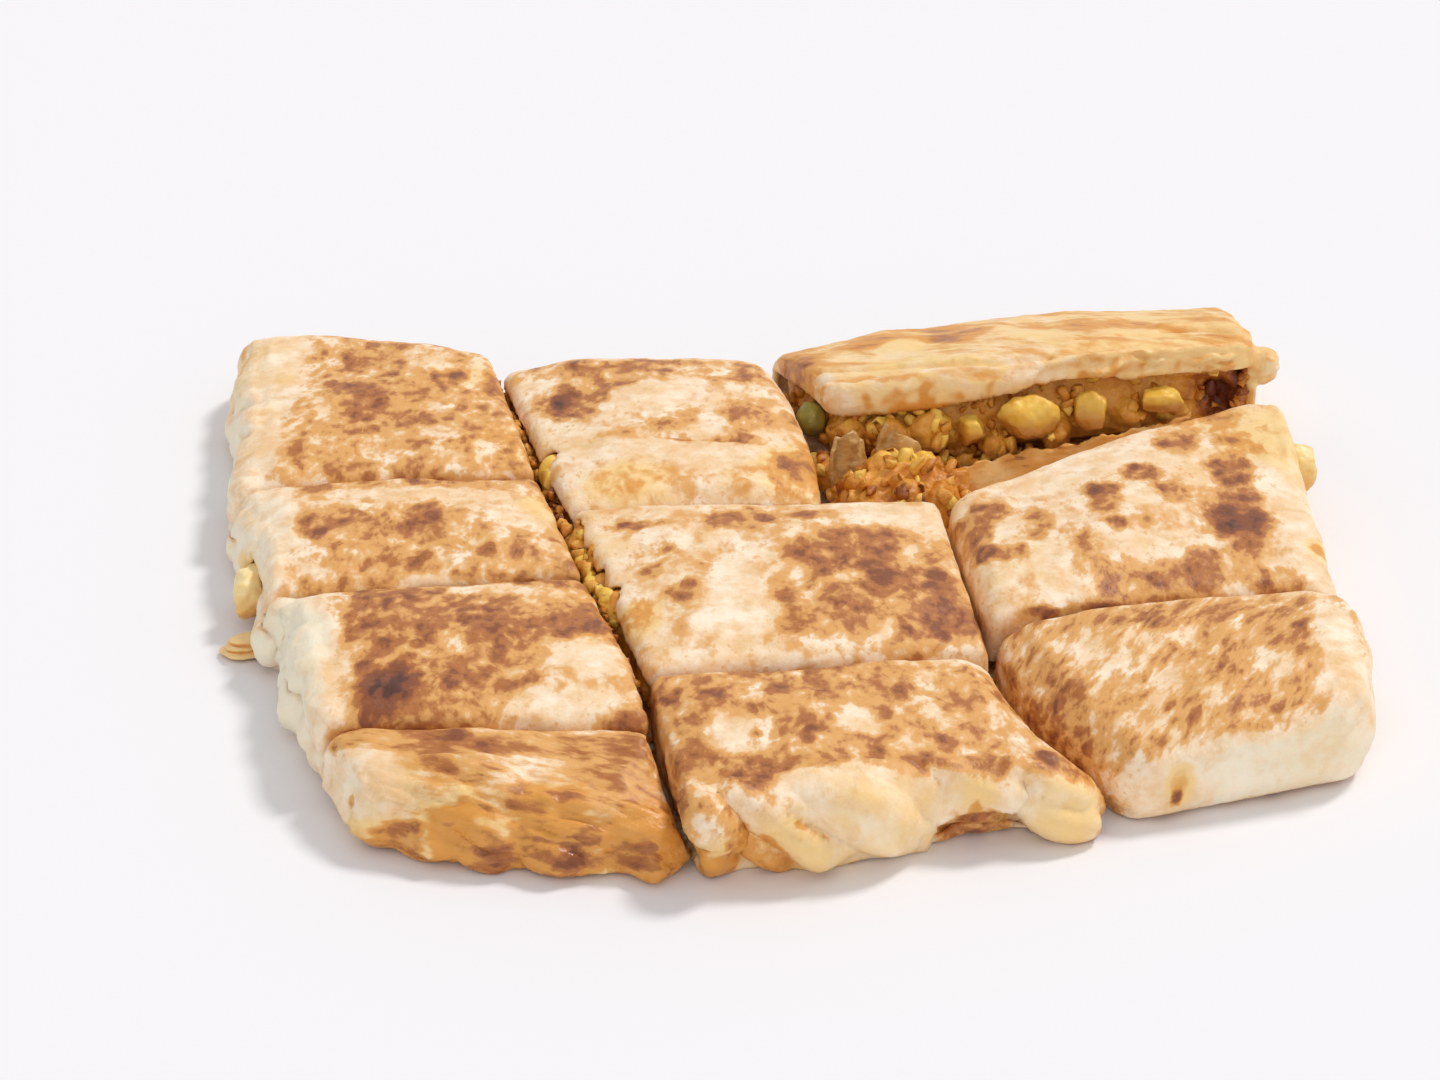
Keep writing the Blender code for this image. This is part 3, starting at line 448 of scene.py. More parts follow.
# Each has its toast where no spot lies, the height of its sides' pleats, and the sides that face a cut.
# A spot is (x, y, half width, half depth, toast), in millimetres seen from above, later ones on top.
slices = {
    "L1": {"node": "L1_dough", "material": "dough", "toast": 0.55, "pleats": 0.9,
        "joins": ("front", "right"), "spots": [
        (-103, 50, 9, 60, 0.0), (-70, 62, 5, 6, 0.12), (-69, 32, 9, 4, 0.22), (-68, 9, 20, 6, 0.1),
        (-82, 69, 7, 12, 0.85), (-83, 55, 5, 13, 0.72), (-81, 46, 6, 8, 0.95), (-72, 40, 5, 6, 0.8),
        (-65, 54, 6, 10, 0.66), (-67, 75, 5, 6, 0.6), (-58, 62, 4, 18, 0.55), (-93, 41, 4, 13, 0.6),
        (-87, 25, 7, 4, 0.65), (-76, 18, 9, 4, 0.7), (-66, 19, 5, 3, 0.6), (-90, 11, 4, 6, 0.66),
        (-50, 27, 5, 6, 0.55), (-92, 66, 4, 6, 0.5)]},
    "L2": {"node": "L2_dough", "material": "dough", "toast": 0.6, "pleats": 1.2,
        "joins": ("front", "back", "right"), "spots": [
        (-97, -14, 10, 30, -0.2), (-66, 4, 22, 5, 0.05), (-60, -27, 8, 3, 0.0), (-45, -2, 9, 9, 0.1),
        (-85, -7, 4, 6, 0.85), (-79, 0, 4, 6, 0.6), (-74, -14, 7, 12, 0.62), (-64, -8, 5, 10, 0.86),
        (-78, -24, 7, 7, 0.62), (-61, -20, 9, 4, 0.66), (-50, -17, 4, 7, 0.5), (-40, -15, 8, 5, 0.66),
        (-83, -31, 3, 3, 0.75)]},
    "L3": {"node": "L3_dough", "material": "dough", "toast": 0.84, "pleats": 1.6,
        "joins": ("front", "back", "right"), "spots": [
        (-86, -55, 12, 34, -0.35), (-83, -72, 10, 14, -0.25), (-30, -58, 9, 9, 0.02),
        (-34, -72, 12, 7, 0.05), (-48, -32, 12, 3, 0.25),
        (-70, -37, 10, 9, 0.85), (-67, -47, 8, 6, 1.0), (-53, -40, 7, 6, 0.78), (-41, -39, 6, 4, 0.66),
        (-65, -69, 5.5, 7, 1.7), (-57, -75, 7, 5, 0.95), (-57, -60, 4, 9, 0.8), (-46, -62, 7, 9, 0.82),
        (-42, -56, 5, 5, 0.72), (-35, -66, 3, 4, 0.5)]},
    "L4": {"node": "L4_dough", "material": "layered", "toast": 0.55, "pleats": 1.0,
        "joins": ("back", "right"), "spots": [
        (-68, -92, 10, 9, 0.0), (-60, -96, 12, 5, 0.05), (-50, -95, 9, 3, 0.25), (-36, -84, 26, 3, 0.8),
        (-55, -82, 7, 4, 0.8), (-50, -92, 7, 2, 0.8), (-26, -88, 10, 4, 0.72), (-24, -97, 12, 5, 0.7)]},
    "M1": {"node": "M1_dough", "material": "dough", "toast": 0.17, "pleats": 0.9,
        "joins": ("front", "left"), "spots": [
        (-42, 63, 9, 5, 0.67), (-24, 64, 14, 5, 0.78), (-6, 62, 10, 7, 0.62), (4, 30, 6, 24, 0.32),
        (-38, 46, 7, 9, 1.1), (-27, 55, 8, 5, 0.69), (-15, 36, 4, 8, 0.62), (-3, 40, 5, 9, 0.62),
        (2, 28, 8, 3, 0.56), (-34, 29, 8, 2, 0.5), (-20, 48, 9, 7, 0.0), (-26, 24, 14, 4, 0.0),
        (-8, 20, 12, 4, 0.0), (9, 16, 6, 14, 0.81), (-19, 33, 5, 4, 0.56),
        (-12, 27.2, 13, 1.4, 0.62)]},
    "M2": {"node": "M2_top_dough", "material": "dough", "toast": 0.18, "pleats": 0.6,
        "joins": ("front", "back", "left", "right"), "spots": [
        (24, -30, 20, 27, 0.73), (-3, -7, 8, 6, 0.9), (12, -5, 8, 3, 0.95), (-24, -9, 7, 2, 0.77),
        (-20, -22, 5, 7, 0.55), (-8, -25, 3, 5, 0.61), (-14, -35, 3, 4, 0.88), (-22, -40, 3, 6, 0.4),
        (25, -4, 14, 7, 0.0), (22, -15, 9, 6, 0.94), (12, -23, 7, 5, 0.99), (29, -30, 9, 11, 0.95),
        (35, -42, 9, 8, 1.04), (14, -37, 4, 4, 0.99), (10, -46, 7, 5, 0.84), (5, -33, 3, 7, 0.73),
        (17, -28, 4, 4, 0.5), (-4, -38, 6, 16, 0.0)]},
    "M2base": {"node": "M2_base_dough", "material": "dough", "toast": 0.3, "pleats": 0.3,
        "joins": (), "spots": []},
    "M3": {"node": "M3_dough", "material": "dough", "toast": 0.62, "pleats": 0.7,
        "joins": ("back", "left", "right"), "spots": [
        (30, -53, 13, 5, 0.05), (-4, -84, 5, 8, 0.02), (17, -79, 5, 5, 0.05), (-14, -70, 8, 12, 0.86),
        (8, -58, 12, 3, 0.8), (23, -67, 5, 5, 0.86), (4, -85, 5, 5, 0.82), (14, -85, 5, 4, 0.8),
        (9, -91, 12, 4, 0.86), (34, -89, 17, 3, 0.9), (-2, -94, 6, 7, 0.92), (45, -78, 4, 12, 0.3),
        (-14, -92, 7, 5, 0.66), (8, -98, 6, 4, 0.0), (20, -99, 14, 5, 0.0), (34, -96.5, 12, 4.5, 0.0),
        (52, -94, 12, 4, 0.05)]},
    "R1": {"node": "R1_dough", "material": "folded", "toast": 0.26, "pleats": 0.9,
        "joins": (), "spots": [
        (42, 74, 7, 10, 0.66), (20, 70, 11, 5, 0.45), (68, 76, 8, 8, 0.55), (88, 76, 13, 5, 0.4),
        (30, 64, 5, 6, -0.1), (30, 52, 22, 3, 0.0), (59, 68, 7, 5, 0.0), (80, 68, 9, 4, 0.05),
        (98, 74, 7, 6, 0.1),
        (98, 66, 6, 3, 0.5), (8, 60, 7, 8, 0.7)]},
    "R2": {"node": "R2_dough", "material": "dough", "toast": 0.14, "pleats": 0.9,
        "joins": ("front", "left"), "spots": [
        (60, 17, 22, 10, 0.0), (44, -2, 6, 4, 0.95), (42, -12, 3, 8, 0.95), (47, -19, 5, 4, 0.95),
        (53, -8, 3, 9, 0.74), (75, 10, 5, 4, 0.92), (67, 0, 4, 8, 0.96), (80, 2, 4, 5, 0.81),
        (71, -11, 6, 3, 0.81), (73, 0, 3, 4, 0.0), (60, -18, 4, 7, 0.74), (75, -27, 14, 5, 0.81),
        (67, -31, 6, 3, 0.81), (92, -8, 7, 14, 1.08), (93, 13, 5, 9, 1.03), (84, 25, 6, 6, 0.67),
        (97, -28, 6, 4, 0.81), (84, -21, 4, 4, 0.95), (95, 27, 7, 10, 0.38), (90, 36, 10, 4, 0.56),
        (55, -25, 4, 11, 0.02), (104, -8, 4, 30, 0.0)]},
    "R3": {"node": "R3_dough", "material": "streaky", "toast": 0.43, "pleats": 0.5,
        "joins": ("back", "left"), "spots": [
        (78, -44, 26, 5, 0.72), (54, -80, 6, 22, 0.8), (97, -55, 6, 7, 0.84), (98, -39, 5, 3, 0.82),
        (90, -75, 7, 4, 0.7), (60, -55, 5, 6, 0.25), (80, -66, 10, 6, 0.42), (104, -70, 5, 40, 0.0),
        (92, -88, 26, 7, 0.0), (66, -100, 9, 9, 0.0)]},
}
# Places on the sides: (x, y, z, radius, toast); most are the griddle's browning, one is painted shadow
# and one is painted light, each noted where it stands
sideToastAndPaintedLight = {
    "L1": [(-110, 45, 6, 45, -0.4)],
    "L2": [(-102, -10, 6, 26, -0.45)],
    "L3": [(-88, -50, 7, 34, -0.5)],
    "M1": [(12, 8, 9, 26, 0.55), (12, 26, 12, 14, 0.6)],
    # M3's spot at (37, -93, 2) is painted shadow: dark brown low in the arch of its front, where shade
    # falls under the lifted puff
    "M3": [(20, -98, 9, 24, -0.12), (50, -90, 7, 14, -0.05), (37, -93, 2, 9, 1.1),
           (0, -104, 3, 9, 0.35), (62, -88, 8, 5, 0.3)],
    "L4": [(-66, -90, 9, 9, -0.3), (-69, -91.5, 8, 2.6, 0.9), (-62, -97, 2, 9, 0.7),
           (-48, -97, 8, 15, 0.62), (-34, -100, 7, 14, 0.72), (-20, -102, 6, 14, 0.66),
           (-32, -102, 5, 4.5, 1.3), (-44, -101, 4, 5, 0.95), (-8, -100, 5, 10, 0.62)],
    # R1's spot at (30, 46, 19) is painted light: it whitens the front of the lip's thick roll as if lit
    # from the front
    "R1": [(4, 60, 12, 16, 0.8), (14, 46, 16, 8, 0.4), (64, 52, 18, 18, 0.12), (84, 57, 17, 20, 0.12),
           (24, 44, 12, 4, 0.45), (44, 46, 13, 5, 0.45), (60, 48, 15, 6, 0.5), (76, 54, 15, 5, 0.5),
           (96, 60, 16, 5, 0.45), (106, 63, 7, 12, 0.5), (30, 46, 19, 17, -0.4),
           (36, 42, 2, 24, 0.7), (70, 50, 2, 26, 0.8)],
    "R2": [(60, 6, 12, 16, 0.3), (90, 38, 12, 14, 0.5), (54, -37, 15, 8, 1.1),
           (64, -35, 15, 8, 1.15), (74, -33, 15, 8, 1.0)],
    "R3": [(95, -80, 7, 30, -0.3), (58, -42, 15, 14, 1.1), (46, -64, 9, 22, 0.8),
           (72, -85.5, 5.5, 2, 1.3)],
}
# Stains of egg and oil on the dough: (x, y, z, radius, strength)
stains = {
    "L1": [(-108, 66, 8, 18, 0.4), (-50, 30, 11, 16, 0.6), (-58, 60, 11, 16, 0.6)],
    "L2": [(-99, -12, 8, 9, 1.0), (-40, 4, 11, 14, 0.6)],
    "L3": [(-84, -60, 6, 14, 0.2), (-28, -40, 11, 18, 0.6)],
    "L4": [(-50, -97, 5, 12, 2.0), (-34, -101, 5, 14, 2.0), (-18, -102, 5, 13, 1.8),
           (-66, -96, 3, 9, 1.4),
           (-56, -92, 12, 9, 0.5), (-8, -98, 6, 9, 1.6)],
    "M1": [(-26, 10, 17, 13, 0.8), (-2, 12, 17, 9, 0.45), (10, 18, 12, 16, 1.6),
           (-46, 30, 11, 12, 0.5)],
    "M2": [(-20, -42, 13, 10, 1.0), (-30, -16, 11, 12, 0.6), (4, -44, 18, 10, 0.3)],
    "M3": [(20, -98, 5, 24, 0.45), (4, -104, 3, 14, 1.1), (36, -95, 13, 7, 0.8),
           (52, -92, 6, 12, 0.7), (-6, -103, 5, 9, 1.8)],
    "R1": [(30, 70, 20, 40, 0.75), (80, 72, 20, 44, 1.0), (20, 45, 14, 14, 0.3),
           (64, 52, 16, 18, 0.7), (92, 60, 16, 20, 0.9), (100, 66, 18, 14, 1.1), (106, 63, 8, 12, 1.6),
           (36, 44, 3, 30, 2.0), (74, 52, 3, 30, 2.0), (4, 66, 14, 14, 1.4), (31, 62, 22, 8, 0.1)],
    "R2": [(105, 26, 16, 20, 1.1), (88, 38, 16, 12, 0.7), (105.5, -18, 16.5, 4, 2.0),
           (39, -20, 9, 24, 0.4)],
    "R3": [(73, -85, 7.5, 4.6, 1.35), (100, -80, 9, 14, 0.3)],
}
# Fineness, heights and sizes of the dough's relief in millimetres, and the toast of its underside
doughRelief = {"grid": 0.9, "smoothing": 5, "swell": 1.0, "blisters": 0.5, "wrinkles": 0.3,
               "swellSize": 16, "blisterSize": 4.5, "wrinkleSize": 1.8, "pleatSize": 6.5,
               "underside": 0.5}


def nearSpots(points, spots):
    # for each (x, y, z, radius, value) how near the points are, 0 to 1, and the value
    uneven = 0.3 * noiseAt(points, (5, 5, 5), 10.0) + 0.15 * noiseAt(points, (2, 2, 2), 11.0)
    for x, y, z, radius, value in spots:
        away = np.linalg.norm(points - (x, y, z), axis=1) / radius
        yield 1.0 - smoothStep(0.3, 1.0, away + uneven), value


outward = {"front": (0, -1, 0), "back": (0, 1, 0), "left": (-1, 0, 0), "right": (1, 0, 0)}


def toastOf(dough, plan, sideToastAndLight):
    # how far the griddle has browned each point, from above, on the sides and on the underside; the
    # sides' spots also carry a little painted light and painted shadow
    points = places(dough) / mm
    up = directions(dough)[:, 2]
    above = np.full(len(points), plan["toast"])
    for x, y, halfWidth, halfDepth, tone in plan["spots"]:
        away = np.hypot((points[:, 0] - x) / halfWidth, (points[:, 1] - y) / halfDepth)
        above += (tone - above) * (1.0 - smoothStep(0.5, 1.35, away))
    # the browning of the top runs down into the cuts between slices
    cut = np.zeros(len(points))
    for side in plan["joins"]:
        cut = np.maximum(cut, smoothStep(0.2, 0.7, directions(dough) @ outward[side]))
    beside = above * cut
    for share, tone in nearSpots(points, sideToastAndLight):
        beside += (tone - beside) * share
    top = smoothStep(0.4, 0.85, up) * smoothStep(4, 8, points[:, 2])
    under = smoothStep(0.6, 0.9, -up)
    return above * top + beside * (1.0 - top) * (1.0 - under) + doughRelief["underside"] * under


def soakOf(dough, spots):
    points = places(dough) / mm
    values = np.zeros(len(points))
    for share, strength in nearSpots(points, spots):
        values = np.maximum(values, strength * share)
    return values


swellTexture = lumpyTexture("swelling", doughRelief["swellSize"], 1)
blisterTexture = lumpyTexture("blisters", doughRelief["blisterSize"], 1)
wrinkleTexture = lumpyTexture("wrinkles", doughRelief["wrinkleSize"], 2)
pleatTexture = lumpyTexture("pleats", doughRelief["pleatSize"], 1)

# The raised slice's open edge, in millimetres: the line it follows is y at x = 0 and its slope, and
# the roll is its middle's height and its half height
lip = {"from": 14.5, "line": (45.0, 0.2), "roundUpTo": 52, "roll": 2.0, "rollAt": (19.0, 5.0),
       "layers": 1.1, "layerHeight": 2.3,
       "crease": ((12, 55.5), (24, 53.0), (36, 51.5), (50, 51.0), (60, 53.5)),
       "creaseWidth": 1.6, "creaseDepth": 1.3}
# Creases and folds of the tops, seen from above: points along each, width, depth (below 0 for a ridge)
creases = {
    "R1": [((85, 71), (94, 71.5), (102, 69), 1.6, 1.2), ((66, 62), (78, 66), (92, 67), 1.3, 0.8),
           ((86, 74.5), (95, 75), (104, 71.5), 2.6, -1.0)],
    "M1": [((-24, 29), (-12, 27.5), (0, 27), 1.4, 0.6)],
}


def awayFromLine(points, line):
    # distance seen from above to a line through some points
    best = np.full(len(points), 1e3)
    for start, end in zip(line, line[1:]):
        start, end = np.array(start), np.array(end)
        along = np.clip((points[:, :2] - start) @ (end - start) / np.sum((end - start) ** 2), 0, 1)
        nearest = start + along[:, None] * (end - start)
        best = np.minimum(best, np.linalg.norm(points[:, :2] - nearest, axis=1))
    return best


def layerLip(dough):
    # the raised slice's open edge: a thick roll at the left, thin flaky layers at the right
    points = places(dough) / mm
    facing = directions(dough)
    high = smoothStep(lip["from"], lip["from"] + 1.5, points[:, 2])
    front = smoothStep(0.15, 0.6, -facing[:, 1]) * high
    start, slope = lip["line"]
    front *= smoothStep(2.0, 0.0, points[:, 1] - (start + slope * points[:, 0]))
    left = smoothStep(lip["roundUpTo"] + 8, lip["roundUpTo"], points[:, 0])
    height, half = lip["rollAt"]
    middle = np.clip(1.0 - ((points[:, 2] - height) / half) ** 2, 0, 1)
    pushOut(dough, front * left * middle, lip["roll"])
    wander = 1.1 * noiseAt(points, (12, 40, 6), 1.0) + 0.6 * noiseAt(points, (4, 9, 4), 2.0)
    bands = 0.5 + 0.5 * np.sin(2 * math.pi * (points[:, 2] / lip["layerHeight"] + wander))
    broken = smoothStep(-0.3, 0.3, noiseAt(points, (9, 30, 4), 3.0))
    pushOut(dough, front * bands * broken * (1.0 - 0.8 * left), lip["layers"])
    points = places(dough) / mm
    above = smoothStep(0.3, 0.7, directions(dough)[:, 2])
    away = awayFromLine(points, lip["crease"]) + 0.4 * noiseAt(points, (4, 4, 4))
    crease = 1.0 - smoothStep(0.0, lip["creaseWidth"], away)
    pushOut(dough, crease * above, -lip["creaseDepth"])


# Puffs of M3's front between these edges, at a middle height and half height, and its arch: middle,
# half width and height, in millimetres
lobes = {"edges": (-9, -1, 11.5, 37, 62), "at": (9.5, 9.0), "height": 2.6, "ridges": 2.2,
         "arch": (38, 9, 8), "archDepth": 4.4}


def puffFront(dough):
    # soft puffs of the folded front edge, with sharp valleys between them
    points = places(dough) / mm
    facing = directions(dough)
    front = smoothStep(0.1, 0.6, -facing[:, 1]) * smoothStep(-78, -90, points[:, 1])
    lean = points[:, 0] + 1.1 * (points[:, 2] - 8) + 4.0 * noiseAt(points, (16, 30, 9), 4.0)
    along = np.interp(lean, lobes["edges"], range(len(lobes["edges"])))
    puffs = np.sin(math.pi * along) ** 2
    middle, half = lobes["at"]
    upper = np.clip(1.0 - ((points[:, 2] - middle) / half) ** 2, 0, 1) ** 0.5
    pushOut(dough, front * puffs * upper, lobes["height"])
    slant = points.copy()
    slant[:, 2] += 0.5 * points[:, 0]
    pushOut(dough, front * ridgesAt(slant, (30, 20, 7), 12.0), lobes["ridges"])
    x, halfWidth, height = lobes["arch"]
    points = places(dough) / mm
    arch = np.clip(1.0 - ((points[:, 0] - x) / halfWidth) ** 2 - (points[:, 2] / height) ** 2, 0, 1)
    pushOut(dough, front * arch ** 0.5, -lobes["archDepth"])


# Rounded folds: (their sizes along X, Y and Z, seed, height), in millimetres
twists = [((24, 14, 5.5), 3.0, 1.8), ((11, 7, 2.0), 5.0, 0.9), ((7, 5, 1.1), 6.0, 0.4)]
leftFolds = [((30, 13, 9), 6.0, 2.0), ((20, 7, 4), 7.0, 0.8)]
rightFolds = [((30, 26, 8), 14.0, 1.6)]
# Pale folds that bulge out at the left, over the rest: (x, y, z, radius, height)
sags = [(-90, -31, 5, 7, 1.2), (-86, -33, 7, 10, 2.5), (-82, -52, 7, 11, 2.0), (-104, 10, 5, 9, 1.6)]


def pushFolds(dough, where, points, folds):
    for sizes, seed, height in folds:
        pushOut(dough, where * ridgesAt(points, sizes, seed), height)


def twistFront(dough):
    # egg-soaked folds that run slantwise over the front of the last slice
    points = places(dough) / mm
    facing = directions(dough)
    front = smoothStep(0.1, 0.55, -facing[:, 1]) * smoothStep(0.3, 2.0, points[:, 2])
    front *= 0.35 + 0.65 * smoothStep(-66, -54, points[:, 0])
    slant = points.copy()
    slant[:, 2] += 0.22 * points[:, 0]
    pushFolds(dough, front, slant, twists)


def bulgeRight(dough):
    # soft folds of the right edge
    points = places(dough) / mm
    side = smoothStep(0.15, 0.6, directions(dough)[:, 0]) * smoothStep(0.4, 2.5, points[:, 2])
    pushFolds(dough, side, points, rightFolds)


def bulgeLeft(dough):
    # pale folds that sag at the parcel's left edge
    points = places(dough) / mm
    facing = directions(dough)
    side = smoothStep(0.15, 0.6, -facing[:, 0]) * smoothStep(0.4, 2.5, points[:, 2])
    pushFolds(dough, side, points, leftFolds)
    for share, height in nearSpots(places(dough) / mm, sags):
        pushOut(dough, share * smoothStep(0.1, 0.5, -facing[:, 0]), height)


ownShapes = {"R1": layerLip, "M3": puffFront, "L4": twistFront, "L1": bulgeLeft, "L2": bulgeLeft,
             "L3": bulgeLeft, "R2": bulgeRight, "R3": bulgeRight}
ownGrids = {"R1": 0.58, "M3": 0.7, "L4": 0.65}


def makeDough(name, plan):
    dough = copyOfNode(plan["node"], "dough" + name)
    grid = ownGrids.get(name, doughRelief["grid"])
    applyModifier(dough, "REMESH", mode="VOXEL", voxel_size=grid * mm)
    applyModifier(dough, "SMOOTH", factor=0.5, iterations=doughRelief["smoothing"])
    if name in ownShapes:
        ownShapes[name](dough)
    for *line, width, depth in creases.get(name, []):
        points = places(dough) / mm
        away = awayFromLine(points, line) + 0.3 * noiseAt(points, (5, 5, 5))
        near = 1.0 - smoothStep(0.0, width, away)
        pushOut(dough, near * smoothStep(0.3, 0.7, directions(dough)[:, 2]), -depth)
    up = directions(dough)[:, 2]
    high = places(dough)[:, 2] / mm
    groupFrom(dough, "top", smoothStep(0.3, 0.8, up))
    groupFrom(dough, "sides", smoothStep(0.15, 0.6, 1 - np.abs(up)) * smoothStep(1.5, 4, high))
    roughen(dough, swellTexture, doughRelief["swell"], "top")
    roughen(dough, blisterTexture, doughRelief["blisters"], "top")
    roughen(dough, pleatTexture, plan["pleats"], "sides")
    roughen(dough, wrinkleTexture, doughRelief["wrinkles"])
    storeOn(dough, "toast", toastOf(dough, plan, sideToastAndPaintedLight.get(name, [])))
    storeOn(dough, "soak", soakOf(dough, stains.get(name, [])))
    finishPiece(dough, materials[plan["material"]], "dough", plan["node"])
    print(name, "dough has", len(dough.data.polygons), "faces")


for name, plan in slices.items():
    makeDough(name, plan)


# Filling

# Fineness of the mesh, heights and sizes of the relief in millimetres, the filling's hue and how much
# it swings, and by how much the crumbs' hues differ from it
fillingRelief = {"grid": 0.8, "smoothing": 3, "crumbs": 2.2, "crumbSize": 4.0, "angular": 1.2,
                 "angularSize": 3.0, "grit": 0.7, "gritSize": 1.2, "hue": 0.58, "hueSwing": 0.3,
                 "crumbHues": (-0.25, -0.1, 0.0, 0.1, 0.25, 0.45)}
# Hues are (x, y, z, radius, hue) of places that are yellower or darker than the rest.
# Crumbs lie on what shows within a box. Caught ones lie between slices, in rows of
# (start, end, number, sizes, hue).
fillings = {
    "R1_filling": {"grid": 0.6, "crumbs": 200, "crumbSize": (2.0, 6.0), "hues": [
        (60, 52, 10, 60, 0.68), (12, 58, 9, 12, 0.4), (36, 46, 12, 14, 0.75),
        (100, 66, 10, 12, 0.05), (62, 48, 4, 9, 0.4)], "within": ((4, 40, 2), (98, 70, 19)),
        "caught": [((36, 46, 3.4), (52, 47, 3.4), 18, (3.0, 6.0), 0.7),
                   ((38, 51, 3.2), (60, 51, 3.2), 16, (3.0, 5.5), 0.6),
                   ((101.5, 65.5, 6), (103.5, 66, 15), 16, (2.6, 4.6), 0.35)]},
    "R1_spilled_filling": {"grid": 0.5, "crumbs": 100, "crumbSize": (2.4, 6.0), "hues": [
        (28, 28, 8, 30, 0.48), (31, 32, 11, 9, 1.0), (22, 24, 8, 8, 0.6), (38, 30, 8, 8, 0.4),
        (26, 40, 8, 9, 0.4), (28, 14, 6, 10, 0.4)],
        "within": ((8, 4, 2), (48, 46, 16)),
        "caught": [((8, 45, 2), (16, 41, 2), 12, (3.0, 5.5), 0.45),
                   ((8, 51, 2), (18, 47, 2), 10, (3.0, 5.0), 0.35)]},
    "L1_filling": {"crumbs": 60, "crumbSize": (1.4, 3.6), "hues": [(-52, 40, 9, 40, 0.62)],
                   "within": ((-64, 18, 4), (-40, 82, 15))},
    "L2_filling": {"crumbs": 30, "crumbSize": (1.4, 3.4), "hues": [(-40, 0, 9, 30, 0.6)],
                   "within": ((-48, -26, 4), (-30, 20, 15))},
    "L3_filling": {"crumbs": 40, "crumbSize": (1.4, 3.4), "hues": [(-28, -50, 9, 30, 0.5)],
                   "within": ((-38, -80, 4), (-14, -22, 15))},
    "M1_filling": {"crumbs": 50, "crumbSize": (2.0, 4.4), "hues": [
        (-41.4, 25, 11, 9, 1.0), (-38, 10, 8, 9, 0.5), (-50, 50, 9, 24, 0.65)],
        "within": ((-60, -4, 2), (-30, 72, 13)),
        "caught": [((-56, 68, 11.2), (-44, 24, 11.8), 22, (2.2, 5.0), 0.6),
                   ((-42, 17, 11.8), (-38, 2, 11.8), 14, (1.4, 4.2), 0.25),
                   ((-42.3, 23, 13.4), (-41.2, 19, 13.4), 4, (4.6, 5.6), 1.1)]},
    "M2_filling": {"crumbs": 60, "crumbSize": (2.2, 5.0), "hues": [
        (-34, -4, 10, 8, 0.8), (-31, -14, 10, 6, 0.75), (-29, -23, 10, 6, 0.9),
        (-26.4, -31, 10, 7, 1.05), (-22, -44, 8, 8, 0.35)],
        "within": ((-42, -62, 2), (-16, 2, 16)),
        "caught": [((-38, 1, 12.2), (-35, -8, 12.6), 8, (2.4, 5.0), 0.6),
                   ((-35, -8, 12.8), (-30.6, -26, 13.0), 16, (4.0, 6.4), 0.88),
                   ((-31, -25, 12.2), (-21.8, -60, 11.6), 24, (1.4, 3.8), 0.25),
                   ((-29.8, -27, 13.6), (-28.6, -32, 13.6), 4, (4.0, 5.2), 1.1)]},
}
crumbTexture = lumpyTexture("crumbs", fillingRelief["crumbSize"], 1)
gritTexture = lumpyTexture("grit", fillingRelief["gritSize"], 2)
angularTexture = bpy.data.textures.new("angular", "VORONOI")
angularTexture.noise_scale = fillingRelief["angularSize"] * mm


def whittle(piece, cuts, closeness):
    # flat cuts all round a rounded piece, as on diced potato: six like a cube's, then some askew
    points = places(piece)
    middle = Vector((points.max(axis=0) + points.min(axis=0)) / 2)
    half = (points.max(axis=0) - points.min(axis=0)) / 2
    spin = Euler((chance.uniform(-0.35, 0.35), chance.uniform(-0.35, 0.35),
                  chance.uniform(0, 1.5))).to_matrix()
    for number in range(cuts):
        facing = Vector([chance.uniform(-1, 1) for _ in range(3)])
        if number < 6:
            facing *= 0.25
            facing[number // 2] = 1 - 2 * (number % 2)
        facing = spin @ facing.normalized()
        reach = Vector(half * facing).length * chance.uniform(*closeness)
        editAll(piece)
        bpy.ops.mesh.bisect(plane_co=middle + facing * reach, plane_no=facing,
                            use_fill=True, clear_outer=True)
        bpy.ops.object.mode_set(mode="OBJECT")


# Sizes here are of a crumb 1 mm in radius; the lumps' size grows from kind to kind
crumbShape = {"kinds": 6, "cuts": 8, "closeness": (0.5, 0.85), "lumps": 0.7, "lumpSize": 0.7,
              "lumpGrowth": 0.2, "smoothing": 2}


def makeCrumbKinds():
    # irregular crumbs, 1 mm in radius, from which all others are copied
    kinds = []
    for number in range(crumbShape["kinds"]):
        bpy.ops.mesh.primitive_ico_sphere_add(subdivisions=2, radius=1 * mm, location=(0, 0, 0))
        crumb = bpy.context.object
        crumb.name = "crumb" + str(number)
        whittle(crumb, crumbShape["cuts"], crumbShape["closeness"])
        lumpSize = crumbShape["lumpSize"] + crumbShape["lumpGrowth"] * number
        roughen(crumb, lumpyTexture("crumbShape" + str(number), lumpSize, 0), crumbShape["lumps"])
        applyModifier(crumb, "SMOOTH", factor=0.5, iterations=crumbShape["smoothing"])
        kinds.append(crumb)
    return kinds


def placeCrumb(kind, middle, size, hue):
    # a turned and flattened copy of one crumb, with its middle and largest half size in millimetres
    stretch = Vector((1, chance.uniform(0.55, 0.9), chance.uniform(0.4, 0.85))) * size
    turn = Euler([chance.uniform(0, 6.28) for _ in range(3)]).to_matrix().to_4x4()
    crumb = bpy.data.objects.new("crumb", kind.data.copy())
    bpy.context.scene.collection.objects.link(crumb)
    place = Matrix.Translation(Vector(middle) * mm)
    crumb.data.transform(place @ turn @ Matrix.Diagonal((*stretch, 1)))
    storeOn(crumb, "hue", np.full(len(crumb.data.vertices), hue))
    return crumb


